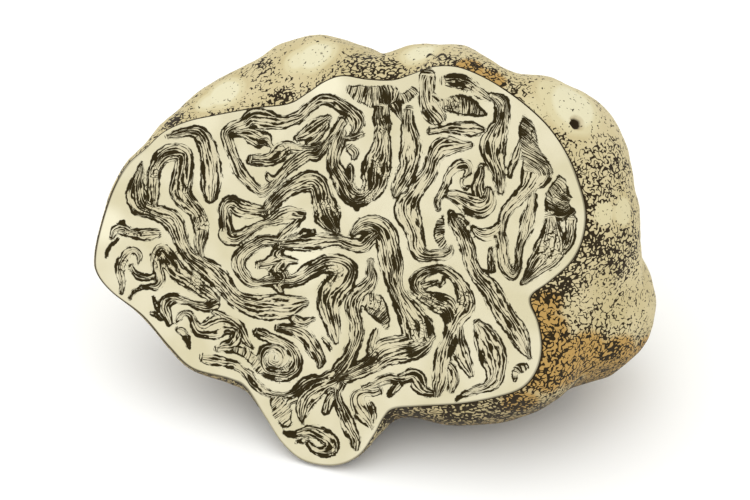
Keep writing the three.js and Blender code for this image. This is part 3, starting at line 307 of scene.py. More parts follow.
# %% The folds of flesh, each a route of x, y and width
FLESH = {
    "spike": [
        (-22.8, 10.3, 0.2), (-23.1, 9.0, 0.8), (-23.4, 7.7, 1.7), (-23.4, 6.4, 2.5), (-23.0, 5.3, 2.3),
        (-22.0, 4.7, 1.7), (-20.5, 4.2, 1.9), (-19.2, 3.4, 2.2), (-18.5, 2.0, 1.9), (-18.1, 0.7, 1.5),
        (-17.3, -0.5, 1.5), (-16.2, -1.4, 1.9), (-15.0, -2.2, 2.2), (-13.9, -3.2, 2.2),
        (-13.0, -4.3, 2.0), (-12.3, -5.2, 1.8), (-11.3, -5.9, 2.0), (-10.1, -6.3, 2.4), (-8.8, -6.5, 2.8),
        (-7.4, -6.5, 2.9), (-6.0, -6.4, 2.6), (-5.0, -6.2, 2.0), (-4.2, -6.0, 1.2),
    ],
    "crook": [
        (-21.6, 5.0, 1.1), (-21.5, 6.5, 1.3), (-21.5, 8.0, 1.4), (-21.3, 9.5, 1.4), (-20.4, 10.9, 1.7),
        (-19.2, 11.4, 1.8), (-18.0, 11.1, 2.0), (-17.9, 9.6, 2.1), (-18.2, 8.0, 2.3), (-18.3, 6.7, 2.4),
        (-17.4, 5.5, 1.9), (-16.5, 4.5, 1.6), (-16.0, 3.3, 1.7), (-15.9, 2.2, 1.5), (-16.1, 1.0, 1.2),
        (-16.1, 0.0, 0.9), (-15.9, -0.8, 0.6),
    ],
    "shoulder_band": [
        (-19.8, 13.15, 0.3), (-18.6, 13.55, 0.8), (-17.4, 13.75, 1.0), (-16.3, 13.6, 1.6),
        (-15.5, 12.6, 1.8), (-15.0, 11.2, 2.1), (-14.75, 9.8, 2.2), (-14.75, 8.2, 2.4), (-14.8, 7.0, 2.1),
        (-14.8, 6.2, 1.3),
    ],
    "left_fleck": [
        (-26.3, 1.6, 0.4), (-26.0, 2.3, 0.8), (-25.2, 2.5, 1.2), (-24.3, 2.1, 1.0), (-23.2, 1.9, 1.1),
        (-22.2, 1.9, 1.2), (-21.2, 2.0, 1.0),
    ],
    "fleck_top": [(-25.7, 3.1, 0.2), (-25.3, 3.3, 0.3), (-24.9, 3.4, 0.2)],
    "left_tick": [(-27.0, -0.7, 0.2), (-26.8, 0.1, 0.2), (-26.3, 0.7, 0.2), (-25.7, 1.3, 0.2)],
    "claw": [
        (-25.2, -4.9, 0.3), (-25.1, -4.0, 0.5), (-25.2, -3.2, 0.7), (-25.4, -2.4, 0.9),
        (-25.3, -1.6, 1.0), (-24.9, -0.8, 1.0), (-24.3, -0.1, 0.9), (-23.6, 0.0, 0.7), (-23.2, -0.5, 0.6),
        (-23.2, -1.4, 0.3),
    ],
    "claw_inner": [
        (-24.1, -1.8, 0.4), (-23.7, -2.6, 0.6), (-23.0, -3.0, 0.7), (-22.2, -3.1, 0.7),
        (-21.5, -2.9, 0.5),
    ],
    "fist": [
        (-24.2, -5.5, 0.2), (-23.9, -4.9, 0.3), (-23.2, -4.4, 0.4), (-22.2, -4.1, 0.5),
        (-21.2, -4.1, 0.8), (-20.7, -3.3, 0.9), (-21.0, -2.0, 1.2), (-21.0, -0.7, 1.5), (-20.5, 0.0, 1.5),
        (-19.9, -0.8, 1.9), (-19.3, -1.8, 2.1), (-18.3, -2.8, 1.9), (-17.0, -3.7, 1.8),
        (-15.7, -4.6, 1.5), (-14.7, -5.3, 1.1), (-14.2, -5.7, 0.7),
    ],
    "knuckle": [
        (-19.6, -8.5, 0.5), (-20.0, -7.4, 1.1), (-20.2, -6.4, 1.3), (-19.6, -5.6, 1.4),
        (-18.7, -5.6, 1.0), (-17.6, -5.9, 0.6), (-16.4, -6.3, 0.8), (-15.4, -6.5, 1.2),
        (-14.6, -6.2, 1.6),
    ],
    "paw": [(-21.8, -7.2, 0.2), (-21.2, -7.4, 0.4), (-20.6, -7.9, 0.3)],
    "paw_top": [(-21.5, -5.4, 0.2), (-21.2, -6.2, 0.3), (-20.9, -6.9, 0.3)],
    "cheek_band": [
        (-18.8, -8.2, 0.3), (-18.4, -7.6, 0.5), (-17.8, -7.2, 0.5), (-17.1, -7.5, 0.6),
        (-16.8, -8.3, 0.8), (-16.2, -9.1, 1.5), (-15.3, -9.1, 2.1), (-14.3, -8.8, 2.6),
        (-13.3, -8.6, 2.3), (-12.4, -8.8, 1.7), (-11.8, -9.1, 1.2),
    ],
    "lash": [(-18.7, -9.1, 0.4), (-18.1, -9.4, 0.7), (-17.6, -10.2, 0.6), (-17.4, -11.2, 0.3)],
    "ramp": [
        (-14.5, -7.0, 0.4), (-13.6, -7.5, 0.8), (-12.7, -8.0, 1.1), (-11.8, -8.6, 1.3),
        (-11.2, -9.6, 1.1), (-10.7, -10.5, 0.8), (-10.1, -11.2, 0.4),
    ],
    "thumb": [
        (-14.1, -11.3, 0.5), (-13.4, -11.1, 1.1), (-12.6, -11.0, 1.4), (-12.0, -10.3, 1.3),
        (-11.7, -9.4, 1.2), (-11.4, -8.6, 0.8),
    ],
    "sling": [
        (-12.1, -11.3, 0.9), (-11.1, -11.7, 0.9), (-10.2, -12.3, 1.0), (-9.5, -13.1, 1.0),
        (-9.0, -13.9, 0.7),
    ],
    "whorl": [
        (-9.5, -9.4, 0.9), (-8.7, -9.7, 1.3), (-7.8, -10.2, 1.1), (-6.8, -10.5, 1.0), (-5.9, -11.0, 1.2),
        (-5.2, -11.8, 1.4), (-4.9, -12.9, 1.3), (-5.3, -13.9, 1.4), (-6.2, -14.4, 1.4),
        (-7.3, -14.3, 1.4), (-8.3, -14.0, 1.2), (-8.9, -13.2, 0.9), (-9.0, -12.2, 0.8),
        (-8.6, -11.4, 1.0), (-7.7, -11.2, 1.0), (-6.9, -11.6, 1.2), (-6.5, -12.4, 1.3),
        (-7.0, -13.1, 1.0), (-7.9, -12.8, 1.0), (-7.8, -12.2, 0.8),
    ],
    "keel": [
        (-15.8, -12.4, 0.8), (-14.6, -12.6, 1.2), (-13.3, -12.9, 1.0), (-12.1, -13.2, 0.9),
        (-11.2, -13.7, 0.7), (-10.5, -14.3, 0.9), (-9.8, -15.3, 1.0), (-8.8, -16.1, 0.9),
        (-7.6, -16.6, 0.5), (-6.3, -16.7, 0.5), (-5.3, -16.4, 0.7), (-4.6, -15.8, 1.0),
        (-3.9, -15.2, 1.1), (-3.0, -14.9, 1.0), (-2.0, -14.8, 0.9), (-1.1, -14.4, 1.1),
        (-0.2, -14.2, 1.4),
    ],
    "fringe": [(-7.1, -17.6, 1.6), (-6.6, -18.6, 2.0), (-6.2, -19.7, 1.4)],
    "fan": [
        (-0.3, -15.0, 1.1), (-1.6, -15.5, 1.5), (-2.7, -16.2, 1.9), (-3.6, -17.1, 2.1),
        (-4.1, -18.1, 1.6), (-4.3, -19.0, 1.0), (-4.3, -19.8, 0.3),
    ],
    "fan_thumb": [(-6.0, -18.1, 0.3), (-5.7, -17.5, 0.5), (-5.1, -17.1, 0.7)],
    "rope": [
        (0.2, -15.3, 1.1), (-0.2, -16.3, 0.9), (-0.1, -17.4, 1.0), (0.4, -18.5, 1.2), (0.9, -19.6, 1.4),
        (1.3, -20.7, 1.5), (1.8, -21.7, 1.2), (1.9, -22.6, 0.8),
    ],
    "rope_tip": [(-0.7, -16.6, 0.7), (-1.2, -17.5, 0.9), (-1.5, -18.5, 0.8)],
    "pool": [
        (-6.3, -21.0, 0.3), (-5.4, -21.2, 0.6), (-4.4, -21.0, 0.9), (-3.4, -20.8, 1.2),
        (-2.3, -21.1, 1.6), (-1.2, -21.8, 1.8), (-0.9, -22.8, 1.7), (-1.8, -23.2, 1.2),
        (-2.8, -23.0, 0.9), (-3.4, -22.4, 0.6),
    ],
    "pool_lap": [(-5.0, -22.2, 0.2), (-4.3, -22.0, 0.4), (-3.5, -21.9, 0.2)],
    "pendant": [
        (4.7, -16.2, 0.7), (3.9, -16.4, 0.8), (3.0, -16.3, 0.9), (2.2, -16.8, 1.3), (2.2, -17.6, 1.5),
        (2.6, -18.4, 1.7), (3.0, -19.2, 1.5), (3.4, -19.8, 1.0), (3.7, -20.3, 0.5),
    ],
    "pendant_edge": [(3.6, -17.5, 0.3), (3.9, -18.1, 0.5), (4.1, -19.0, 0.4), (4.0, -19.8, 0.2)],
    "festoon": [
        (2.8, -15.9, 0.6), (3.8, -15.5, 0.7), (4.8, -15.0, 0.8), (5.8, -14.7, 1.0), (6.8, -14.9, 1.1),
        (7.6, -14.7, 1.3), (8.4, -14.4, 1.7), (9.0, -14.8, 2.0), (9.3, -15.6, 1.7), (9.8, -16.2, 1.1),
        (10.7, -16.4, 0.6),
    ],
    "festoon_leg": [(6.9, -15.4, 0.9), (6.4, -15.9, 0.9), (5.9, -16.6, 0.5)],
    "wing": [
        (-0.2, -14.5, 1.6), (1.0, -14.4, 1.6), (2.1, -13.9, 1.8), (3.2, -13.4, 1.9), (4.3, -12.6, 2.4),
        (5.2, -11.8, 3.1), (6.3, -11.5, 3.2), (7.5, -11.3, 3.1), (8.7, -11.0, 3.0), (9.8, -10.5, 2.3),
        (10.5, -9.9, 1.2),
    ],
    "wing_horn": [(3.6, -11.6, 0.8), (3.9, -10.6, 0.9), (4.1, -9.9, 0.9), (4.3, -9.3, 0.6)],
    "arch": [
        (1.5, 1.8, 0.5), (2.0, 2.4, 1.1), (2.8, 2.9, 1.7), (3.7, 3.0, 2.2), (4.7, 2.6, 2.5),
        (5.4, 1.7, 2.7), (5.7, 0.4, 2.6), (5.9, -0.9, 2.6), (6.2, -2.2, 2.4), (6.3, -3.4, 2.0),
        (6.7, -4.6, 1.6), (7.2, -5.7, 2.0), (7.9, -6.8, 2.7), (8.5, -7.9, 3.2), (9.0, -8.9, 3.7),
        (9.2, -9.8, 3.4),
    ],
    "arch_left": [
        (3.7, -1.2, 0.7), (3.7, -2.2, 0.9), (3.8, -3.2, 1.3), (3.2, -4.2, 1.7), (2.3, -5.1, 1.8),
        (1.7, -6.1, 1.9), (1.7, -7.2, 1.7), (2.0, -8.3, 1.4), (2.1, -9.4, 1.6), (2.0, -10.4, 1.4),
        (1.5, -11.5, 1.5), (1.0, -12.6, 1.7), (0.3, -13.6, 1.8), (-0.2, -14.3, 1.8),
    ],
    "seed": [(3.2, -5.7, 1.7), (4.1, -6.2, 2.4), (4.9, -7.4, 1.7), (5.3, -8.2, 1.1), (5.5, -8.7, 0.5)],
    "river": [
        (-6.9, 0.7, 1.2), (-5.6, 0.9, 1.5), (-4.2, 0.9, 1.7), (-2.8, 1.0, 1.8), (-1.4, 1.2, 1.5),
        (-0.2, 1.2, 1.3), (0.8, 0.9, 1.3), (1.8, 0.6, 1.5), (2.7, 0.6, 1.6), (3.4, 1.2, 1.6),
        (4.2, 1.9, 1.4),
    ],
    "hill": [
        (-8.6, 4.4, 1.1), (-7.8, 5.3, 1.4), (-6.9, 6.2, 1.6), (-5.9, 7.0, 1.6), (-4.6, 7.7, 2.0),
        (-3.2, 8.0, 2.4), (-2.3, 7.3, 2.3), (-1.9, 6.0, 2.4), (-1.5, 4.9, 2.8), (-1.2, 3.9, 3.0),
        (-0.8, 3.0, 1.9), (-0.4, 2.4, 0.9),
    ],
    "hook": [
        (-8.3, 4.6, 1.2), (-9.4, 4.6, 1.3), (-10.5, 4.7, 1.7), (-11.6, 5.0, 1.8), (-12.6, 5.5, 1.7),
        (-13.2, 4.9, 1.2), (-13.2, 3.7, 1.3), (-13.0, 2.6, 1.4), (-13.0, 1.8, 1.6), (-12.3, 1.4, 1.6),
        (-11.3, 1.7, 1.3), (-10.3, 2.4, 1.0), (-9.3, 2.9, 0.8), (-8.5, 3.2, 0.7), (-7.6, 3.5, 1.1),
        (-6.7, 3.9, 1.7), (-5.7, 4.2, 1.9), (-4.8, 4.1, 1.7),
    ],
    "hook_tail": [
        (-4.6, 3.8, 1.0), (-5.3, 2.9, 1.0), (-6.1, 2.2, 1.0), (-6.9, 1.4, 0.9), (-7.4, 0.7, 0.8),
    ],
    "curl": [
        (-3.0, 2.2, 0.6), (-4.0, 2.0, 0.8), (-5.0, 1.5, 0.8), (-6.2, 1.1, 0.9), (-7.4, 1.1, 1.1),
        (-8.6, 1.2, 1.2), (-9.7, 0.7, 1.4), (-10.7, 0.0, 1.5), (-11.5, -0.9, 1.6), (-11.5, -2.0, 1.4),
        (-10.9, -3.0, 1.4), (-10.0, -3.7, 1.1), (-9.0, -3.7, 0.9), (-8.0, -3.5, 1.3), (-6.8, -3.4, 1.7),
        (-5.6, -3.5, 1.4), (-4.5, -3.1, 1.5), (-3.5, -2.4, 1.8), (-2.5, -1.8, 1.8), (-1.4, -1.5, 2.0),
        (-0.1, -1.6, 2.2), (0.8, -2.2, 2.6), (0.4, -3.2, 3.0), (-0.4, -4.1, 3.1), (-1.0, -5.2, 3.0),
        (-1.2, -6.4, 2.5), (-1.0, -7.5, 2.1), (-0.7, -8.6, 1.7), (-0.5, -9.6, 1.3), (-0.3, -10.4, 0.6),
    ],
    "curl_tip": [(-1.9, -10.0, 0.2), (-1.4, -10.6, 0.4), (-0.9, -11.3, 0.3)],
    "curl_inner": [
        (-9.2, -1.6, 0.9), (-8.4, -1.5, 1.1), (-7.5, -1.2, 1.6), (-6.6, -1.1, 1.5), (-5.8, -1.1, 0.9),
        (-5.0, -1.2, 0.5),
    ],
    "curl_bar": [
        (-7.5, 1.1, 0.5), (-6.8, 0.4, 0.9), (-7.3, -0.5, 1.2), (-6.5, -1.3, 1.5), (-7.2, -2.2, 1.9),
        (-6.5, -3.1, 1.9), (-7.1, -4.0, 1.2), (-6.6, -4.8, 0.5),
    ],
    "prong": [
        (-7.1, -8.9, 0.7), (-6.2, -9.0, 1.1), (-5.2, -9.1, 1.3), (-4.2, -9.6, 1.5), (-3.4, -10.5, 1.5),
        (-2.7, -11.6, 1.5), (-2.2, -12.6, 1.2), (-2.2, -13.2, 0.6),
    ],
    "prong_upper": [(-5.2, -7.9, 1.0), (-4.2, -8.3, 0.9), (-3.1, -7.9, 0.5)],
    "lid": [
        (1.3, 18.6, 0.8), (2.3, 18.2, 1.8), (3.5, 17.8, 2.2), (5.0, 17.7, 2.4), (6.1, 17.8, 2.1),
        (7.0, 17.5, 1.0), (7.9, 17.8, 1.0), (8.7, 18.4, 0.8),
    ],
    "wedge": [(6.4, 17.0, 1.4), (6.8, 16.2, 0.9), (7.2, 15.2, 0.2)],
    "drop": [
        (4.9, 16.6, 1.6), (4.9, 15.2, 1.9), (5.1, 14.3, 1.8), (4.9, 13.4, 1.6), (5.0, 12.5, 2.0),
        (4.8, 11.2, 2.6), (4.4, 10.0, 3.2), (4.2, 8.8, 3.2), (4.1, 7.7, 2.6), (3.6, 6.8, 2.2),
        (2.8, 6.2, 1.9), (1.9, 6.1, 2.0), (1.1, 6.7, 2.0), (0.6, 7.7, 2.1), (0.0, 8.8, 1.9),
        (-0.6, 10.0, 1.6), (-0.5, 11.2, 1.4), (-0.1, 12.5, 1.6), (0.3, 13.6, 1.0),
    ],
    "drop_tip": [(2.1, 5.6, 1.0), (2.1, 4.8, 0.4)],
    "cup": [(1.3, 9.7, 0.6), (1.3, 8.8, 0.8), (1.4, 7.9, 0.6), (1.4, 7.1, 0.4)],
    "brow": [
        (1.7, 13.6, 0.6), (2.0, 14.1, 1.2), (2.0, 15.0, 1.8), (1.3, 15.9, 1.6), (0.3, 16.6, 1.4),
        (-0.8, 17.3, 1.3), (-2.0, 17.4, 1.2), (-3.3, 16.6, 1.1), (-4.4, 15.6, 1.3), (-5.6, 15.0, 1.3),
        (-7.0, 14.8, 1.6), (-8.4, 15.1, 2.2), (-9.8, 15.3, 2.1), (-11.0, 14.6, 1.5), (-12.2, 14.2, 1.3),
        (-13.0, 13.5, 1.2), (-12.6, 12.0, 1.2), (-12.2, 11.0, 1.1), (-11.8, 10.0, 1.2), (-11.3, 9.0, 1.3),
        (-10.5, 8.1, 1.2), (-9.7, 7.3, 1.0), (-9.0, 6.8, 0.9), (-8.2, 7.2, 0.8), (-7.0, 8.3, 1.0),
        (-5.9, 9.5, 1.2), (-4.8, 10.4, 1.4), (-3.6, 11.1, 1.4), (-2.5, 11.1, 1.3), (-1.5, 12.3, 0.8),
        (-0.5, 13.6, 0.8), (0.3, 14.8, 1.1),
    ],
    "brow_lap": [
        (-11.9, 13.5, 0.6), (-10.9, 13.6, 1.2), (-10.0, 13.3, 1.9), (-9.1, 12.9, 2.2), (-8.4, 12.8, 1.7),
        (-8.0, 12.3, 0.6),
    ],
    "brow_wedge": [(-8.3, 8.9, 0.4), (-7.9, 8.4, 0.7), (-7.2, 8.3, 0.4)],
    "tongue": [
        (-10.0, 10.5, 1.2), (-9.0, 10.4, 1.2), (-7.8, 10.6, 1.5), (-6.7, 11.4, 1.8), (-5.7, 11.9, 1.3),
        (-4.5, 11.8, 0.8), (-3.2, 11.9, 0.6), (-2.2, 12.1, 0.6),
    ],
    "almond": [
        (-4.8, 13.0, 0.7), (-3.8, 13.5, 1.4), (-2.8, 14.2, 1.8), (-1.9, 14.8, 1.5), (-1.2, 15.3, 0.7),
    ],
    "almond_under": [(-3.6, 12.3, 0.5), (-2.8, 12.9, 0.8), (-2.1, 13.6, 0.8), (-1.5, 14.3, 0.6)],
    "bead": [(1.3, 11.8, 0.8), (1.7, 11.3, 1.1), (1.7, 10.7, 0.5)],
    "bead_lip": [(0.7, 13.0, 0.4), (1.8, 13.1, 0.5), (2.7, 13.4, 0.5)],
    "staff": [
        (8.05, 16.2, 0.8), (7.95, 15.0, 1.3), (8.1, 13.7, 1.8), (8.3, 12.4, 2.3), (8.2, 11.2, 2.4),
        (8.1, 10.1, 2.2), (7.7, 9.0, 2.1), (7.1, 7.8, 1.7), (6.7, 6.9, 1.2), (6.5, 6.3, 0.6),
    ],
    "stem": [
        (10.2, 20.1, 1.7), (10.1, 19.2, 1.8), (10.1, 18.2, 1.7), (10.2, 17.2, 1.8), (10.6, 16.3, 2.2),
        (11.2, 15.6, 2.2),
    ],
    "stem_lap": [(10.4, 18.2, 0.6), (11.0, 17.6, 0.8), (11.6, 17.1, 0.5)],
    "fish": [
        (11.6, 17.1, 0.6), (12.6, 16.8, 1.5), (13.8, 16.8, 2.1), (15.0, 16.5, 1.9), (16.0, 16.0, 1.1),
        (16.9, 15.65, 0.3),
    ],
    "moth": [
        (12.2, 19.6, 1.0), (13.1, 19.6, 1.4), (14.1, 19.4, 1.6), (15.0, 19.0, 1.4), (15.8, 18.4, 1.2),
        (16.7, 17.8, 0.9), (17.3, 17.4, 0.4),
    ],
    "plume": [
        (17.6, 17.8, 0.7), (18.6, 17.1, 1.6), (18.8, 15.8, 1.6), (18.6, 14.6, 1.8), (18.1, 13.4, 2.4),
        (17.7, 12.3, 2.9), (17.8, 11.1, 2.6), (18.1, 10.0, 2.0), (18.4, 9.0, 1.5), (18.5, 8.0, 1.2),
        (18.6, 6.8, 0.7),
    ],
    "comb": [
        (21.3, 15.4, 0.3), (21.5, 14.4, 1.4), (21.7, 13.2, 1.9), (21.8, 12.0, 1.9), (22.2, 10.9, 2.2),
        (22.5, 9.9, 3.0), (22.7, 9.0, 3.5), (22.3, 8.1, 3.0), (21.8, 7.2, 2.1), (20.9, 6.3, 1.5),
        (19.9, 5.3, 1.3), (19.1, 4.3, 1.2), (18.8, 3.2, 0.9), (18.6, 2.0, 1.0), (18.8, 0.8, 1.2),
        (18.9, -0.6, 1.3), (19.2, -1.9, 1.3), (20.0, -2.8, 1.1), (20.6, -1.8, 0.7), (20.7, -0.4, 0.7),
        (20.9, 0.8, 0.8), (21.4, 2.2, 1.3), (21.7, 3.6, 1.5), (22.1, 4.9, 1.1), (22.3, 6.2, 0.9),
    ],
    "comb_edge": [(19.6, 8.6, 0.5), (19.9, 9.8, 0.7), (20.4, 11.0, 0.9), (20.8, 12.0, 0.6)],
    "bowl": [(15.3, 2.7, 0.3), (16.0, 2.1, 1.0), (17.0, 1.9, 1.3), (18.0, 2.3, 1.2), (18.5, 2.8, 1.0)],
    "north_leaf": [
        (10.5, 13.8, 0.7), (11.7, 13.9, 0.6), (12.8, 14.1, 1.1), (14.0, 14.1, 1.4), (15.2, 14.0, 1.6),
        (16.0, 13.9, 1.3), (16.4, 13.9, 0.8),
    ],
    "scarf": [
        (15.1, 12.2, 0.6), (14.0, 12.1, 1.2), (12.8, 12.1, 2.0), (11.7, 11.8, 2.2), (10.9, 10.6, 1.7),
        (10.6, 9.6, 1.6), (10.1, 8.5, 1.7), (9.3, 7.5, 1.8), (8.5, 6.3, 1.9), (7.9, 5.2, 2.7),
        (7.9, 4.2, 2.8), (8.4, 3.1, 2.4), (8.8, 1.7, 2.0), (9.0, 0.6, 1.9), (9.4, -0.3, 1.7),
        (10.2, -0.6, 1.2), (11.1, -0.5, 1.1), (12.0, -0.4, 1.2), (12.7, -0.1, 0.9), (12.9, 0.4, 0.3),
    ],
    "west_petal": [
        (11.4, 4.8, 0.4), (11.2, 5.5, 0.6), (11.7, 6.5, 0.7), (12.3, 7.5, 0.8), (12.6, 8.5, 0.9),
        (13.1, 9.3, 1.0), (13.9, 9.8, 1.3), (14.6, 9.7, 1.2), (14.8, 9.1, 0.8), (14.4, 8.5, 0.4),
    ],
    "north_petal": [
        (16.4, 9.7, 0.5), (16.3, 9.0, 0.9), (16.1, 8.2, 1.1), (15.9, 7.3, 1.3), (16.0, 6.5, 1.3),
    ],
    "inner_petal": [(14.2, 8.2, 0.2), (14.1, 7.6, 0.2), (14.5, 7.2, 0.3), (15.1, 7.4, 0.2)],
    "east_petal": [
        (12.5, 6.5, 0.8), (13.4, 6.3, 1.3), (14.4, 5.8, 1.9), (15.4, 5.3, 2.4), (16.3, 5.2, 2.8),
        (17.0, 5.8, 2.2), (17.2, 6.8, 1.0),
    ],
    "thorn": [(12.0, 4.0, 0.2), (11.7, 3.2, 0.6), (11.5, 2.3, 0.9), (11.6, 1.4, 0.9), (12.1, 0.6, 0.6)],
    "sash": [
        (12.9, 4.3, 0.8), (13.3, 3.3, 1.2), (13.9, 2.3, 1.4), (14.5, 1.2, 1.5), (14.9, 0.0, 1.6),
        (15.1, -1.2, 1.5), (15.7, -2.4, 1.5), (16.5, -3.4, 1.8), (17.4, -4.4, 2.1), (18.0, -5.5, 2.2),
        (18.6, -6.7, 2.3), (19.4, -7.8, 2.2), (20.3, -9.0, 2.1), (20.9, -10.2, 1.9), (21.4, -11.3, 1.3),
        (21.9, -12.2, 0.4),
    ],
    "sash_lip": [(13.2, 4.1, 0.4), (14.1, 3.8, 0.5), (14.8, 3.2, 0.4)],
    "post": [(17.4, 0.2, 0.4), (17.5, -1.1, 0.6), (17.6, -2.2, 0.7)],
    "post_foot": [(15.8, -2.2, 0.4), (16.6, -2.5, 0.4), (17.4, -2.3, 0.4)],
    "east_leaf": [
        (25.3, 8.6, 0.3), (25.4, 7.6, 1.6), (25.2, 6.4, 2.6), (25.4, 5.2, 3.3), (25.9, 4.6, 2.4),
        (26.6, 4.4, 1.0),
    ],
    "pod": [
        (24.4, 3.8, 1.3), (24.5, 2.9, 1.8), (24.5, 1.9, 2.5), (24.4, 0.8, 3.4), (24.0, -0.3, 3.4),
        (23.0, -1.4, 2.6), (22.2, -2.5, 1.5), (21.2, -3.7, 0.4),
    ],
    "pod_edge": [(26.7, 3.5, 1.2), (26.6, 2.2, 1.2), (26.3, 1.0, 1.2), (25.7, 0.0, 0.9)],
    "cap": [
        (9.6, -5.1, 1.0), (9.0, -4.5, 1.3), (8.8, -3.6, 1.3), (9.5, -2.7, 1.2), (10.7, -2.2, 0.9),
        (11.9, -2.1, 0.9), (12.9, -2.7, 1.1), (13.7, -3.5, 1.3), (14.3, -4.6, 1.7), (14.6, -5.7, 2.0),
        (14.4, -6.7, 2.2), (13.7, -7.6, 2.0), (13.2, -8.5, 1.8), (12.8, -9.5, 1.4), (12.5, -10.5, 1.2),
        (12.2, -11.4, 1.6), (11.9, -12.5, 1.9), (11.7, -13.6, 1.7), (11.7, -14.8, 1.5),
        (11.5, -15.8, 1.3), (11.4, -16.5, 0.6),
    ],
    "cap_tongue": [(9.7, -4.1, 0.5), (10.4, -3.9, 0.5), (11.2, -3.6, 0.4)],
    "cap_under": [
        (9.5, -5.2, 1.1), (10.5, -5.6, 1.7), (11.5, -6.0, 2.2), (12.4, -6.4, 2.3), (12.8, -7.2, 1.9),
        (13.0, -8.1, 1.6),
    ],
    "cap_side": [(12.1, -3.1, 0.2), (12.1, -3.7, 0.3), (11.7, -4.1, 0.3)],
    "tassel": [
        (13.8, -8.2, 0.6), (13.9, -9.3, 0.8), (13.9, -10.4, 1.2), (14.1, -11.6, 1.7), (14.4, -12.7, 1.5),
        (14.9, -13.6, 1.1), (15.2, -14.3, 0.6),
    ],
    "foot": [(12.7, -13.2, 0.7), (13.1, -14.0, 1.1), (13.2, -14.9, 1.2), (13.0, -16.0, 0.6)],
    "drumlin": [
        (15.9, -8.4, 0.9), (16.6, -9.3, 2.1), (17.1, -10.4, 2.8), (17.6, -11.6, 3.1), (17.9, -12.9, 2.8),
        (18.0, -14.1, 2.1), (17.7, -15.1, 1.7), (16.9, -15.7, 1.1), (16.0, -16.0, 0.8),
        (15.0, -16.3, 0.6), (14.2, -16.7, 0.4), (13.6, -17.2, 0.2),
    ],
    "nib": [(20.2, -15.0, 0.3), (20.5, -13.8, 0.8), (21.5, -13.3, 0.7)],
}
print(len(FLESH), "folds, with", sum(len(route) for route in FLESH.values()), "points by hand")

# %% [markdown]
# ## Where the flesh runs
# Each fold of flesh holds packed layers of spore sacs, and under a lens the layers show as fine dark lines
# that follow the fold. A picture texture could carry them, but a few numbers on each triangle are sharper
# and turn with every bend: the **lane**, which counts the lines across the fold, the distance **along**
# the fold, and how **deep** inside the flesh a point lies. The finish draws the lines from these numbers.
# The lane belongs to a triangle's corners, since neighbouring folds count their lanes apart. A few folds
# were cut across their layers, so there the lanes are counted along the fold instead. For each of those,
# CUT_ACROSS gives how far along the fold that holds, in mm, and how much its lines slant. Lanes go on to
# LANES_END half widths from the middle of a fold, so that the lines reach past its ragged edge.

# %% Measure the folds
LINE_SPACING = 0.29
FOLD_EXTRA = 0.1
ROUTE_STEPS = 5
REACH_OUT = 0.7
NARROWEST = 0.2
LANES_END = 2.0
ACROSS_CROWDING = 1.1
ALL_ALONG = 99.0
CUT_ACROSS = {
    "lid": (ALL_ALONG, 0.1), "fish": (ALL_ALONG, 0.3), "east_leaf": (ALL_ALONG, -0.8),
    "fringe": (ALL_ALONG, 0.3), "seed": (ALL_ALONG, 0.3), "nib": (ALL_ALONG, 0.0),
    "thorn": (ALL_ALONG, 0.3), "sling": (ALL_ALONG, 0.3), "comb": (6.8, -1.1),
}


def beside_route(route, seen):
    """Distance to the middle line, offset to its left, distance along and half width, by place."""
    start, span = route[:-1, :2], np.diff(route[:, :2], axis=0)
    run = length_of(span)
    run_before = np.concatenate([[0], np.cumsum(run)[:-1]])
    away = seen[:, None, :] - start
    t = np.clip((away * span).sum(-1) / run**2, 0, 1)
    gap = length_of(away - t[..., None] * span)
    nearest = gap.argmin(axis=1)
    everyone = np.arange(len(seen))
    gap, away, t = gap[everyone, nearest], away[everyone, nearest], t[everyone, nearest]
    ahead = span[nearest] / run[nearest, None]
    to_left = ahead[:, 0] * away[:, 1] - ahead[:, 1] * away[:, 0]
    half_width = (route[nearest, 2] + t * (route[nearest + 1, 2] - route[nearest, 2])) / 2
    return gap, to_left, run_before[nearest] + (ahead * away).sum(axis=1), half_width


seen = points[:, :2]
depth = np.full(len(points), -REACH_OUT)
best = np.full(len(cut_faces), -np.inf)
lane, along, fold = np.zeros((3, len(cut_faces), 3))

for number, (name, route) in enumerate(FLESH.items()):
    fine = smooth_route(route, ROUTE_STEPS)
    fine[:, 2] = np.maximum(fine[:, 2], NARROWEST) + FOLD_EXTRA
    margin = fine[:, 2].max() / 2 + REACH_OUT
    around = (seen > fine[:, :2].min(axis=0) - margin) & (seen < fine[:, :2].max(axis=0) + margin)
    near = np.flatnonzero(around.all(axis=1) & on_cut_face)
    gap, to_left, run, half_width = beside_route(fine, seen[near])
    lines = max(2, round(fine[:, 2].mean() / LINE_SPACING) + 1)
    within = half_width - gap
    depth[near] = np.maximum(depth[near], within)

    place_in_near = np.full(len(points), -1)
    place_in_near[near] = np.arange(len(near))
    corners = place_in_near[cut_faces]
    whole = np.flatnonzero((corners >= 0).all(axis=1))
    score = within[corners[whole]].mean(axis=1)
    better = score > best[whole]
    chosen = whole[better]
    best[chosen] = score[better]
    layered = (np.clip(to_left / half_width, -LANES_END, LANES_END) + 1) / 2 * (lines - 1)
    up_to, slant = CUT_ACROSS.get(name, (0, 0))
    crosswise = (run[corners[chosen]].mean(axis=1) < up_to)[:, None]
    slanting = ACROSS_CROWDING * (run + slant * to_left) / LINE_SPACING
    lane[chosen] = np.where(crosswise, slanting[corners[chosen]], layered[corners[chosen]])
    along[chosen] = np.where(crosswise, to_left[corners[chosen]], run[corners[chosen]])
    fold[chosen] = number
flesh_share = (depth[~on_back] > 0).mean()
print("the flesh covers", round(100 * flesh_share), "% of the cut's points")
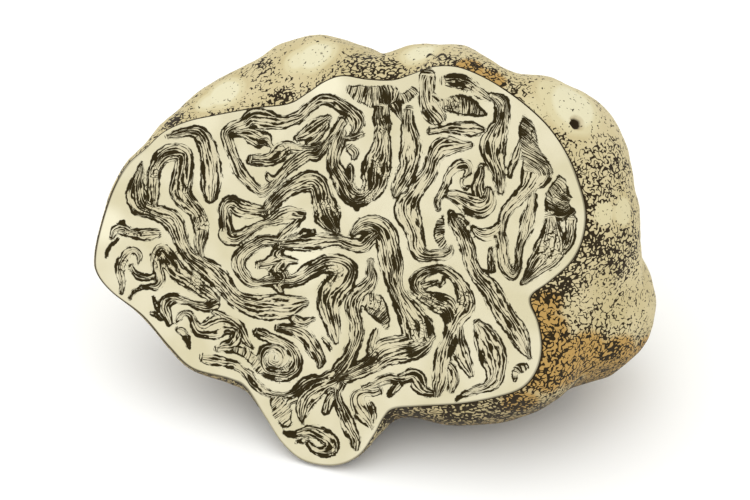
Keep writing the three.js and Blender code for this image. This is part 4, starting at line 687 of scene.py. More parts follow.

# %% [markdown]
# ## Character in spots
# No two parts of a cut look alike. Some folds are so full of spores that their lines run together, some
# hold only a few thin lines, some have broken up into grains, and in some places the veins are painted
# paler as highlights. A noise texture would scatter such places anywhere, so each is a soft round spot,
# given as x, y, radius and strength. A spot is full over the inner third of its radius and fades
# from there.

# %% Spots on the cut
CROWDED = [
    (5.3, 17.4, 1.0, 1.3), (6.3, 16.2, 0.9, 1.3), (6.9, 17.0, 0.8, 1.5), (4.4, 16.2, 1.0, 1.2),
    (5.2, 15.4, 1.2, 1.1), (8.0, 17.8, 0.8, 1.0), (3.2, 9.6, 1.0, 1.4), (4.2, 7.9, 1.4, 1.7),
    (5.2, 9.8, 1.2, 1.0), (2.2, 5.6, 1.1, 1.7), (0.9, 7.6, 1.2, 1.5), (-0.8, 9.8, 1.2, 1.6),
    (0.2, 12.4, 1.0, 1.4), (0.9, 15.9, 1.2, 1.2), (13.8, 19.8, 1.6, 1.4), (14.6, 17.2, 1.0, 1.3),
    (15.8, 16.2, 0.8, 1.2), (16.1, 13.9, 0.8, 1.2), (18.3, 15.1, 1.1, 1.3), (18.0, 13.9, 1.0, 1.0),
    (16.9, 11.8, 0.9, 1.2), (21.2, 13.6, 1.1, 1.5), (21.4, 14.8, 0.8, 1.4), (21.0, 8.7, 0.9, 1.5),
    (25.2, 4.9, 1.2, 1.4), (26.1, 6.4, 1.0, 1.0), (26.5, 4.5, 1.0, 1.3), (23.1, 1.9, 1.1, 1.4),
    (26.1, 1.2, 1.0, 1.1), (21.9, -2.6, 1.0, 1.2), (8.3, 14.6, 1.1, 1.2), (7.2, 8.2, 1.0, 1.4),
    (7.7, 9.7, 0.9, 1.0), (10.8, 10.6, 0.9, 1.2), (9.0, 1.1, 0.8, 1.0), (11.4, 2.2, 1.0, 0.8),
    (13.0, 4.1, 1.0, 1.4), (14.4, 2.0, 1.0, 1.5), (16.6, 3.9, 0.8, 1.2), (18.7, 3.6, 0.8, 1.0),
    (-23.8, 7.4, 1.0, 1.3), (-22.9, 5.9, 1.2, 1.0), (-17.7, 5.6, 1.1, 1.5), (-21.0, 10.7, 0.9, 1.2),
    (-15.6, 14.3, 0.8, 1.0), (-17.4, 13.1, 0.9, 1.0), (-15.9, 7.6, 0.9, 1.0), (-15.5, 1.9, 0.9, 1.4),
    (-12.4, 13.6, 1.1, 1.2), (-8.9, 12.3, 1.0, 1.6), (-10.5, 14.7, 0.8, 1.1), (-7.4, 10.6, 1.0, 1.5),
    (-2.4, 11.2, 1.0, 1.2), (-2.2, 7.6, 1.2, 1.4), (-2.0, 6.2, 1.1, 1.4), (-4.3, 6.4, 1.2, 1.2),
    (-0.6, 3.5, 1.4, 1.7), (-1.8, 4.0, 1.1, 1.2), (-12.3, 6.5, 1.0, 1.1), (-13.2, 3.2, 1.2, 1.6),
    (-12.2, 2.3, 1.2, 1.5), (-8.8, 4.6, 0.9, 1.5), (-7.3, 5.7, 1.1, 1.4), (-4.8, 3.7, 1.1, 1.5),
    (-3.9, 1.8, 1.3, 1.4), (-7.0, 0.4, 0.8, 1.2), (-6.7, -2.0, 1.0, 1.5), (-6.6, -3.4, 1.3, 1.2),
    (8.6, 5.6, 1.3, 1.2), (5.6, -10.0, 1.3, 1.2), (-9.1, -1.5, 0.7, 1.0), (-3.2, -2.2, 1.4, 1.7),
    (-1.8, -1.3, 1.0, 1.5), (1.2, -3.1, 1.4, 1.7), (1.9, -1.9, 0.9, 1.5), (-1.0, -3.0, 1.2, 1.2),
    (-1.9, -5.4, 0.9, 1.0), (-0.6, -8.0, 1.0, 1.4), (-19.8, -0.9, 1.1, 1.7), (-21.3, -0.6, 0.8, 1.0),
    (-14.6, -1.1, 1.0, 1.6), (-14.4, -3.4, 0.8, 1.2), (-15.6, -4.6, 0.9, 1.2), (-19.4, -5.5, 1.1, 1.2),
    (-14.9, -6.4, 0.8, 1.0), (-15.7, -9.8, 1.0, 1.2), (-12.8, -8.5, 1.0, 1.5), (-11.8, -9.6, 1.1, 1.9),
    (-12.6, -10.8, 0.9, 1.6), (-9.0, -7.0, 1.1, 1.4), (-9.1, -9.5, 1.0, 1.7), (-6.6, -9.1, 0.8, 1.8),
    (-4.5, -12.8, 0.9, 1.3), (-5.5, -14.2, 1.0, 1.5), (-7.8, -14.3, 1.0, 1.2), (-14.3, -12.8, 1.0, 1.2),
    (-12.6, -13.1, 0.9, 1.2), (-4.8, -16.2, 1.0, 1.5), (-3.2, -14.9, 1.2, 1.4), (-4.2, -19.2, 0.8, 1.2),
    (-5.6, -21.1, 0.9, 1.2), (-2.2, -21.3, 1.1, 1.5), (-1.7, -23.1, 1.1, 1.7), (-0.6, -22.2, 0.9, 1.2),
    (-1.4, -13.0, 0.8, 1.2), (0.2, -14.5, 1.5, 1.4), (1.5, -15.0, 0.8, 1.4), (0.8, -17.0, 0.6, 0.8),
    (0.7, -19.4, 0.8, 1.2), (3.0, 1.4, 1.2, 1.3), (4.2, 2.0, 1.1, 2.0), (3.7, -2.4, 1.0, 1.1),
    (1.4, -6.3, 1.0, 0.9), (4.7, -7.7, 1.1, 1.8), (5.4, -3.9, 0.9, 1.5), (6.4, -6.2, 0.9, 1.5),
    (10.4, -9.3, 1.0, 1.5), (8.1, -11.4, 1.2, 1.4), (5.5, -11.8, 0.9, 1.2), (3.4, -12.8, 1.1, 1.3),
    (2.7, -13.6, 0.9, 1.0), (9.4, -15.6, 1.0, 1.4), (7.0, -15.0, 0.9, 1.4), (10.4, -16.4, 0.8, 1.3),
    (8.6, -3.5, 1.0, 1.2), (12.8, -7.5, 1.5, 1.7), (11.8, -5.6, 1.0, 1.3), (12.3, -11.8, 0.9, 1.2),
    (16.4, -12.0, 0.9, 1.1), (17.5, -11.2, 0.7, 0.9), (20.9, -12.9, 0.6, 1.2), (20.4, -9.8, 0.9, 0.9),
    (15.3, 17.2, 0.9, 1.6), (14.1, 17.6, 0.7, 1.4), (15.2, 15.6, 0.8, 1.4), (-5.9, -9.1, 0.9, 1.5),
    (13.8, -10.5, 0.6, 1.6), (16.6, -12.4, 0.7, 1.5), (20.7, 8.4, 0.6, 1.6), (26.0, 4.7, 1.2, 1.5),
    (6.7, 16.4, 0.8, 1.6), (-20.7, -0.1, 0.8, 1.4), (26.6, 2.2, 1.0, 1.3), (11.1, -1.9, 1.6, 1.0),
    (8.6, -3.6, 0.9, 0.9), (13.4, -7.2, 0.9, 1.0),
]
SPARSE = [
    (-20.7, -2.9, 1.2, 0.6), (-7.5, -12.2, 1.6, 0.9), (-6.0, -12.6, 1.0, 0.7), (-7.0, -18.6, 2.0, 0.8),
    (3.0, -17.4, 1.2, 0.9), (5.4, -1.8, 1.0, 0.7), (11.2, 16.4, 1.4, 0.8), (12.2, 16.9, 1.0, 0.8),
    (-15.2, 12.0, 1.4, 0.8), (-18.8, 10.2, 1.4, 0.6), (-5.0, 11.5, 1.4, 0.6), (-4.6, -6.2, 1.6, 0.8),
    (11.4, -14.5, 2.0, 0.7), (23.4, -0.3, 1.2, 0.7), (15.3, 10.0, 1.0, 0.7), (13.9, 12.2, 1.4, 0.7),
    (8.4, 4.2, 1.4, 0.6), (12.6, -4.2, 1.2, 0.7), (-13.9, -8.9, 1.2, 0.6), (-3.0, -16.2, 1.2, 0.6),
    (17.2, -9.8, 0.8, 0.7), (11.3, 15.8, 1.0, 0.6), (12.6, 17.2, 0.8, 0.8), (17.0, 1.6, 1.2, 0.6),
    (19.0, -0.5, 1.4, 0.5), (-14.8, 9.0, 1.6, 0.4), (-26.0, 2.2, 0.8, 0.5), (5.0, 13.2, 1.2, 0.5),
    (1.0, -20.8, 1.4, 0.5), (19.2, 9.4, 1.0, 0.6), (6.4, -10.4, 0.9, 0.7), (8.8, -10.5, 0.7, 1.8),
    (11.4, -0.4, 1.2, 0.6),
]
GRAINY = [
    (5.0, 9.6, 2.4, 1.0), (3.0, 6.4, 2.0, 0.9), (5.2, 14.6, 1.8, 0.9), (-1.2, 4.6, 2.4, 1.0),
    (-22.2, 5.2, 1.8, 0.8), (-18.2, 6.8, 1.6, 0.9), (-15.8, 3.2, 1.8, 0.8), (-21.2, 9.2, 1.6, 0.8),
    (24.2, 0.8, 3.0, 1.0), (25.6, 6.0, 2.0, 0.9), (-24.2, 2.0, 2.2, 1.0), (-25.0, -1.5, 1.8, 0.7),
    (-6.4, 11.2, 1.6, 0.8), (9.3, -9.4, 2.2, 1.0), (14.4, -5.6, 1.6, 0.9), (3.4, -12.4, 2.2, 0.8),
    (14.4, 19.3, 2.2, 0.8), (-6.6, -14.3, 1.6, 0.8), (13.0, 16.8, 1.4, 0.8), (-20.4, -1.0, 2.0, 0.9),
    (11.2, -6.0, 2.0, 1.0), (4.2, -6.2, 1.4, 1.0), (-1.2, -2.6, 2.0, 0.7), (-0.4, -23.0, 1.6, 0.8),
    (-16.4, -4.0, 2.0, 0.7), (22.0, 13.4, 1.8, 0.8), (-1.6, 14.4, 1.4, 0.7), (-6.8, -3.0, 1.6, 0.8),
]
# Painted highlights on the veins, as x, y, radius and strength.
VEIN_HIGHLIGHTS = [
    (-27.0, 3.0, 3.0, 1.0), (-4.0, -1.0, 4.0, 0.7), (-1.5, 19.2, 3.0, 1.0), (-15.5, 15.0, 2.5, 0.5),
    (-15.2, 8.0, 2.0, 0.4), (-7.5, 13.8, 2.0, 0.4), (6.5, -11.5, 3.0, 0.3),
]
SPOT_EDGE = 1.5


def spot_values(spots, centres, places):
    """The strongest of several soft round spots, at each place."""
    values = np.zeros(len(places))
    for (x, y, radius, strength), centre in zip(spots, centres):
        nearness = 1 - length_of(places - centre) / radius
        values = np.maximum(values, strength * eased(SPOT_EDGE * nearness))
    return values


def cut_spots(spots):
    return spot_values(spots, [np.array(spot[:2]) for spot in spots], seen) * on_cut_face


crowded = cut_spots(CROWDED) - cut_spots(SPARSE)
grainy = cut_spots(GRAINY)
painted_vein_highlight = cut_spots(VEIN_HIGHLIGHTS)

# %% [markdown]
# ## Relief
# A cut truffle starts to dry in minutes, and the moist flesh shrinks a little below the firm veins. The
# skin has faint lumps all over, given as height and pitch. It has a few pits where grubs and roots have
# been, given as azimuth and tilt in degrees and radius. All are moved points of the mesh rather than bump
# in the finish, so they also catch the light along the outline.

# %% Sink the flesh, raise the lumps, press the pits
FLESH_SINK = 0.22
SINK_SLOPE = 0.45
LUMPS = [(0.10, 2.6), (0.05, 1.2)]
LUMPS_FADE = 2.0
PITS = [(27, 85, 0.8), (152, 40, 0.9), (255, 30, 0.7), (12, 28, 0.8)]
NO_PIT = -9.0

points = points - FACING * (FLESH_SINK * between(depth, 0, SINK_SLOPE) * on_cut_face)[:, None]

rim_azimuth = np.concatenate([back_azimuth, cut_azimuth])
from_rim = length_of(points - spokes(rim_azimuth) * rim_reach(rim_azimuth)[:, None])
outward = points / np.maximum(length_of(points), 1)[:, None]

lumps = sum(
    height * np.array([noise.noise(Vector(p) / pitch) for p in points]) for height, pitch in LUMPS
)
points = points + outward * (lumps * between(from_rim, 0, LUMPS_FADE) * on_back)[:, None]

into_pit = np.full(len(points), NO_PIT)
for azimuth, tilt, radius in PITS:
    centre = skin_points(np.radians([azimuth]), np.radians([tilt]))[0]
    off_centre = np.where(on_back, length_of(points - centre) / radius, -NO_PIT)
    into_pit = np.maximum(into_pit, 1 - off_centre)
    points = points - outward * (radius * np.sqrt(np.clip(1 - off_centre**2, 0, 1)))[:, None]
print("lumps of", lumps.min().round(2), "to", lumps.max().round(2), "mm, and", len(PITS), "pits")

# %% [markdown]
# ## Furrows
# The furrows between the lobes get painted shade: an ochre colour and thicker freckles. The crowns get
# painted highlights. To find both, a copy of the skin is relaxed like a stretched sheet, over and over.
# Where the copy ends up above the skin there is a furrow, and where it ends up below there is a crown.
# Deep in a furrow two lobes meet in a crease, painted as a dark line of shade, which runs where their
# spheres are the same distance away.

# %% Find the furrows and the crowns
RELAXING_ROUNDS = 140
CREASE_DEPTH = 0.2
CREASE_WIDTH = 2.0
WIDEST_CREASE = 0.4
NO_MARK = -1.0
TINY = 1e-12


def point_normals(places, faces):
    a, b, c = (places[faces[:, i]] for i in range(3))
    across_face = np.cross(b - a, c - a)
    total = np.stack([
        sum(np.bincount(faces[:, i], across_face[:, axis], len(places)) for i in range(3))
        for axis in range(3)
    ], axis=1)
    return total / np.maximum(length_of(total), TINY)[:, None]


def relaxed(places, faces, fixed, rounds):
    """Moves every free point to the middle of its neighbours, many times."""
    ends = np.unique(np.sort(np.vstack([faces[:, [0, 1]], faces[:, [1, 2]], faces[:, [2, 0]]])), axis=0)
    a, b = ends.T
    neighbours = np.bincount(ends.ravel(), minlength=len(places))
    moved = places.copy()
    for _ in range(rounds):
        total = np.stack([
            np.bincount(a, moved[b, axis], len(places)) + np.bincount(b, moved[a, axis], len(places))
            for axis in range(3)
        ], axis=1)
        moved = np.where(fixed[:, None], places, total / neighbours[:, None])
    return moved


def for_all(skin_values, elsewhere=0.0):
    """Values for every point: the skin's own, and one value for all of the cut."""
    return np.concatenate([skin_values, np.full(len(points) - back_count, elsewhere)])


skin = points[:back_count]
skin_normals = point_normals(skin, back_faces)
skin_relaxed = relaxed(skin, back_faces, on_rim[:back_count], RELAXING_ROUNDS)
skin_furrow = ((skin_relaxed - skin) * skin_normals).sum(axis=1)
furrow = for_all(skin_furrow)

# Where the furrow is deep, the crease between two lobes is painted as a dark line of shade.
to_lobes = [length_of(skin - centre) - radius for centre, radius in zip(LOBE_CENTRES, LOBE_RADII)]
nearest, second = np.sort(to_lobes, axis=0)[:2]
crease_width = np.minimum(CREASE_WIDTH * (skin_furrow - CREASE_DEPTH), WIDEST_CREASE)
crease = for_all(crease_width - (second - nearest), NO_MARK)
print("furrows up to", furrow.max().round(2), "mm deep; crowns up to", -furrow.min().round(2), "mm high")

# %% [markdown]
# ## Spots on the skin
# The skin gets spots too: pale crowns that are painted highlights, orange-brown stains with painted
# shade among them, and dark freckles, the dense ones painted shade. Each is given where a reader sees it,
# or would see it through the truffle from the front for those on the back, and spreads over the skin
# from there. Two small arcs on the front are the rims of old grub holes.

# %% Painted highlights, stains, freckles and painted shade
# Painted highlights: pale places on the front crowns, as x, y, radius and strength.
PALE_FRONT = [
    (-13.3, 18.3, 3.4, 1.0), (-15.0, 17.3, 2.4, 0.8), (-2.8, 22.7, 3.6, 1.0), (-4.6, 21.9, 2.6, 0.8),
    (9.5, 22.8, 3.2, 0.9), (27.0, 16.8, 5.0, 1.0), (24.5, 18.2, 2.6, 0.6), (22.8, 16.4, 2.6, 0.34),
    (30.4, 4.3, 2.1, 0.6), (32.8, 4.6, 2.3, 0.62),
]
# Orange-brown stains, and orange-brown painted shade on the lower right, as x, y, radius and strength.
STAINS_AND_SHADE_FRONT = [
    (15.0, 20.8, 2.6, 1.0), (17.8, 19.8, 2.4, 0.9), (23.6, -6.0, 3.0, 0.8), (24.4, -9.6, 4.0, 0.9),
    (24.5, -13.0, 5.5, 1.2), (28.0, -12.6, 5.0, 1.2), (31.5, -12.6, 5.0, 1.3), (29.0, -16.0, 5.5, 1.1),
    (34.6, -12.2, 4.0, 1.1), (21.0, -17.5, 3.5, 0.9),
]
# Freckles, as x, y, radius and strength; the dense ones on the lower right and along the bottom are painted
# shade.
FRECKLES_AND_SHADE_FRONT = [
    (-8.6, 20.4, 2.6, 0.3), (-8.9, 21.7, 1.6, 0.6), (-6.6, 17.5, 2.2, 0.75), (-18.5, 16.4, 1.6, 0.3),
    (3.0, 21.2, 4.5, 0.55), (5.5, 20.6, 3.4, 0.7), (12.5, 21.6, 2.5, 0.5), (16.0, 20.5, 3.5, 0.6),
    (20.0, 18.6, 2.8, 0.3), (31.0, 9.0, 6.5, 0.4), (32.5, 4.5, 6.0, 0.3), (30.0, 6.4, 4.5, 0.55),
    (29.0, 0.5, 5.0, 0.75), (33.0, -0.4, 5.0, 0.7), (25.5, -3.5, 4.5, 0.9), (25.0, -5.0, 2.2, 1.2),
    (24.5, -10.0, 5.0, 0.5), (24.0, -15.0, 5.0, 0.5), (29.0, -12.0, 6.0, 0.4), (33.5, -12.0, 5.0, 0.4),
    (31.3, -11.7, 2.0, 1.6), (32.5, -6.5, 6.0, 0.2), (27.5, -8.5, 3.0, 0.4), (-19.0, 15.2, 1.8, 1.3),
    (14.0, -19.0, 5.0, 1.7), (8.0, -19.0, 4.5, 1.7), (20.0, -18.4, 4.5, 1.4),
]
CRATERS = [(10.6, 22.2, 0.45), (11.9, 22.2, 0.45)]
CRATER_LINE = 0.13
CRATER_OPENING = 0.5
FACES_SIDE = 0.05
# Painted highlights on the crowns of the back.
PALE_BACK = [
    (-14.0, 6.0, 5.0, 0.7), (2.0, 10.0, 6.0, 0.8), (20.0, 6.0, 5.0, 0.8), (26.0, -2.0, 4.0, 0.6),
]
STAINED_BACK = [(8.0, 0.0, 5.0, 0.8), (14.0, -12.0, 5.0, 0.7), (-6.0, -12.0, 5.0, 0.6)]
FRECKLED_BACK = [
    (12.0, 3.0, 7.0, 0.55), (-8.0, 10.0, 6.0, 0.5), (2.0, -8.0, 7.0, 0.6), (26.0, 8.0, 6.0, 0.5),
]


def skin_spots(front, back):
    centres = []
    for spots, side in ((front, 1), (back, -1)):
        faces_side = skin_normals[:, 2] * side > FACES_SIDE
        for x, y, _, _ in spots:
            missed = length_of(skin[:, :2] - [x, y]) + FARTHEST * ~faces_side
            centres.append(skin[missed.argmin()])
    return for_all(spot_values(front + back, centres, skin))


pale = skin_spots(PALE_FRONT, PALE_BACK)
stains_and_shade = skin_spots(STAINS_AND_SHADE_FRONT, STAINED_BACK)
freckles_and_shade = skin_spots(FRECKLES_AND_SHADE_FRONT, FRECKLED_BACK)

crater = np.full(len(points), NO_MARK)
for x, y, radius in CRATERS:
    off_ring = abs(length_of(seen - [x, y]) - radius)
    opening = CRATER_OPENING * between(seen[:, 1], y, y - radius)
    crater = np.maximum(crater, CRATER_LINE - off_ring - opening)

# %% [markdown]
# ## What the shape decides
# Where the skin faces down it gets painted shade: dark brown, orange-brown and dense freckles. Freckles
# also gather as painted shade on the slopes into the furrows, and along the edge of the cut, and the
# crowns of the back get painted highlights. Each rule is a soft step between two values of one measure.
# The edge of the cut has dried to a thin dark line, except at the top.

# %% Underside, slopes, crowns and edge
FACING_BACK = (0.0, -0.2)
PAINTED_HIGHLIGHT_ON_CROWN = (0.35, 1.65)
SHADE_FRECKLES_ON_SLOPE = (-0.75, 0.35)
SHADE_FRECKLES_BELOW = (0.1, 0.8)
MOST_SHADE_FRECKLES_BELOW = 0.9
ORANGE_SHADE_BELOW = (0.2, 1.0)
DEEPEST_ORANGE_SHADE_BELOW = 0.6
UNDERSIDE_SHADE_BELOW = (-0.05, 0.75)
WAY_TO_LOWER_RIGHT = (0.5, -0.9)
LOWER_RIGHT = (-1.6, 14.4)
FRECKLED_EDGE = (1.8, 0.0)
EDGE_FRECKLES = 0.3
MORE_LOWER_RIGHT = 0.6
DRIED_EDGE = (13.0, 7.0)
LESS_LOWER_RIGHT = 0.4

downward = for_all(-(stood(skin_normals) - STAND)[:, 2])
facing_away = between(for_all(skin_normals[:, 2]), *FACING_BACK)
to_lower_right = between(seen @ WAY_TO_LOWER_RIGHT, *LOWER_RIGHT)

crater[facing_away > 0] = NO_MARK
# Painted highlights: the crowns of the back are painted pale where they bulge most.
pale = np.maximum(pale, facing_away * between(-furrow, *PAINTED_HIGHLIGHT_ON_CROWN))
# Orange-brown painted shade where the skin faces down.
stains_and_shade = np.maximum(stains_and_shade, DEEPEST_ORANGE_SHADE_BELOW * between(downward, *ORANGE_SHADE_BELOW))
# Painted shade: the skin is painted dark brown where it faces down.
painted_underside_shade = between(downward, *UNDERSIDE_SHADE_BELOW) * on_back
edge_freckles = EDGE_FRECKLES + MORE_LOWER_RIGHT * to_lower_right
# Freckles thicken as painted shade where the skin faces down and on the slopes into the furrows.
freckles_and_shade = np.maximum.reduce([
    freckles_and_shade,
    MOST_SHADE_FRECKLES_BELOW * between(downward, *SHADE_FRECKLES_BELOW),
    facing_away * between(furrow, *SHADE_FRECKLES_ON_SLOPE),
    edge_freckles * between(from_rim, *FRECKLED_EDGE) * on_back,
])
rim_dried = between(seen[:, 1], *DRIED_EDGE) * (1 - LESS_LOWER_RIGHT * to_lower_right)
print("points that face down, in %:", round(100 * (downward > 0).mean()))

# %% [markdown]
# ## The mesh
# The points are stood on the table, where the lowest are pressed flat: those are the three small places
# that carry the half. Every measure made so far goes onto the mesh as a named attribute for the finishes.

# %% Build the half
SHARP_ANGLE = math.radians(50)

standing = stood(points)
standing[:, 2] = np.maximum(standing[:, 2], 0)

mesh = bpy.data.meshes.new("halved_truffle")
mesh.from_pydata((standing * MM).tolist(), [], np.vstack([back_faces, cut_faces]).tolist())
measures = {
    "depth": depth, "crowded": crowded, "grainy": grainy, "painted_vein_highlight": painted_vein_highlight, "from_rim": from_rim,
    "rim_dried": rim_dried, "into_pit": into_pit, "furrow": furrow, "crease": crease, "pale": pale,
    "stains_and_shade": stains_and_shade, "freckles_and_shade": freckles_and_shade, "painted_underside_shade": painted_underside_shade, "crater": crater,
}
for name, values in measures.items():
    mesh.attributes.new(name, "FLOAT", "POINT").data.foreach_set("value", values.astype(np.float32))
back_corners = np.zeros(3 * len(back_faces))
for name, values in {"lane": lane, "along": along, "fold": fold}.items():
    corners = np.concatenate([back_corners, values.ravel()]).astype(np.float32)
    mesh.attributes.new(name, "FLOAT", "CORNER").data.foreach_set("value", corners)
mesh.polygons.foreach_set("material_index", np.repeat([0, 1], [len(back_faces), len(cut_faces)]))
mesh.shade_smooth()
mesh.set_sharp_from_angle(angle=SHARP_ANGLE)
mesh.validate()

half = bpy.data.objects.new("halved_truffle", mesh)
bpy.context.scene.collection.objects.link(half)
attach(half, "root")
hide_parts("truffle_half")

check = bmesh.new()
check.from_mesh(mesh)
open_edges = sum(not bmesh_edge.is_manifold for bmesh_edge in check.edges)
print("volume in cm3:", round(check.calc_volume() * 1e6, 2), "- open edges:", open_edges)
check.free()

# %% [markdown]
# ## Nodes and colours
# A few helpers serve both finishes. Colours are written the way a paint chart gives them, in sRGB hex,
# and the shader needs them linear. Three things are needed again and again: a measure that wavers from
# place to place, a stroke such as a pen would leave wherever some value comes close to zero, and colours
# laid one over another.

# %% Helpers for the finishes
def linear(code):
    """A colour such as "#C8B48C" as linear RGBA."""
    channels = [int(code[i:i + 2], 16) / 255 for i in (1, 3, 5)]
    return [c / 12.92 if c <= 0.04045 else ((c + 0.055) / 1.055) ** 2.4 for c in channels] + [1.0]


def add(tree, kind, inputs=None, **settings):
    """Adds a node with its settings. Inputs are values, sockets, or nodes, whose first output is used."""
    made = tree.nodes.new("ShaderNode" + kind)
    for name, value in settings.items():
        setattr(made, name, value)
    for name, value in (inputs or {}).items():
        by_name = [socket for socket in made.inputs if socket.enabled and socket.name == name]
        target = by_name[0] if by_name else made.inputs[name]
        if isinstance(value, bpy.types.Node):
            value = next(socket for socket in value.outputs if socket.enabled)
        if isinstance(value, bpy.types.NodeSocket):
            tree.links.new(value, target)
        else:
            target.default_value = value
    return made


def wavering(tree, place, scale, spread, start, end, **more):
    """A noise that wavers from start to end, as its values go from one end of their spread to the other."""
    waver = add(tree, "TexNoise", {"Vector": place, "Scale": scale, **more})
    return add(tree, "MapRange", {
        "Value": waver, "From Min": spread[0], "From Max": spread[1], "To Min": start, "To Max": end,
    })


def stroke(tree, value, half_width, softness):
    """1 where the value is less than half a width from zero, and 0 beyond, with soft edges."""
    away = add(tree, "Math", {0: value}, operation="ABSOLUTE")
    margin = add(tree, "Math", {0: half_width, 1: away}, operation="SUBTRACT")
    return add(tree, "MapRange", {"Value": margin, "From Min": -softness, "From Max": softness})


def laid_over(tree, base, layers):
    """Lays colours one over another on a base, each as strongly as its factor says."""
    for factor, layer in layers:
        over = linear(layer) if isinstance(layer, str) else layer
        base = add(tree, "Mix", {"Factor": factor, "A": base, "B": over}, data_type="RGBA")
    return base


def new_finish(name, measures=()):
    """An empty material, the object's coordinates in millimetres, and the measures it reads."""
    finish = bpy.data.materials.new(name)
    finish.use_nodes = True
    tree = finish.node_tree
    tree.nodes.clear()
    in_metres = add(tree, "TexCoord").outputs["Object"]
    place = add(tree, "VectorMath", {0: in_metres, "Scale": 1 / MM}, operation="SCALE")
    read = {name: add(tree, "Attribute", attribute_name=name).outputs["Fac"] for name in measures}
    return finish, place, read


# %% [markdown]
# ## Finish: the skin
# The real surface is peridium, a thin dry rind of packed fungal threads, never polished. It gives the eye
# a matte, faintly velvety tan, with orange-brown stains where soil acids reached it. Over that, the
# crowns get painted highlights, and the furrows and the underside get painted shade in ochre,
# orange-brown and dark brown. Dark freckles thicken as painted shade in the furrows, on the underside
# and on the lower right, until they touch and make a net. A painted image would need a seamless wrap, so
# the colours come from the attributes, and the freckles from two noises. Where the first passes its
# middle value it leaves thin curves, and the second breaks them into short dashes.
# Where freckles are dense the curves are wider and fewer are broken. Real freckles are 0.1 to 0.4 mm
# across, and so are these. The studio light is strong, so each colour is a little darker than it looks.
# Each of SKIN_STEPS turns one measure into a share: where it starts, where it is full, and how much then.

# %% Peridium
CURVE_SOFTNESS = 0.012
SKIN_STEPS = {
    # Painted shade in the furrows.
    "furrow_shade": ("furrow", 0.02, 0.3, 1.0),
    # Two steps of painted highlight on the crowns.
    "painted_highlight": ("pale", 0.12, 0.4, 1.0),
    "painted_highlight_core": ("pale", 0.6, 0.85, 1.0),
    "round_pit": ("into_pit", -0.45, 0.0, 0.35),
    # The inside of each pit is painted near-black: partly dark pigment, partly painted shade.
    "in_pit": ("into_pit", 0.0, 0.2, 1.0),
    # The crease, painted as a dark line of shade.
    "crease_shade_line": ("crease", -0.1, 0.1, 1.0),
    "on_crater": ("crater", -0.03, 0.03, 1.0),
    "at_edge": ("from_rim", 0.26, 0.14, 1.0),
}


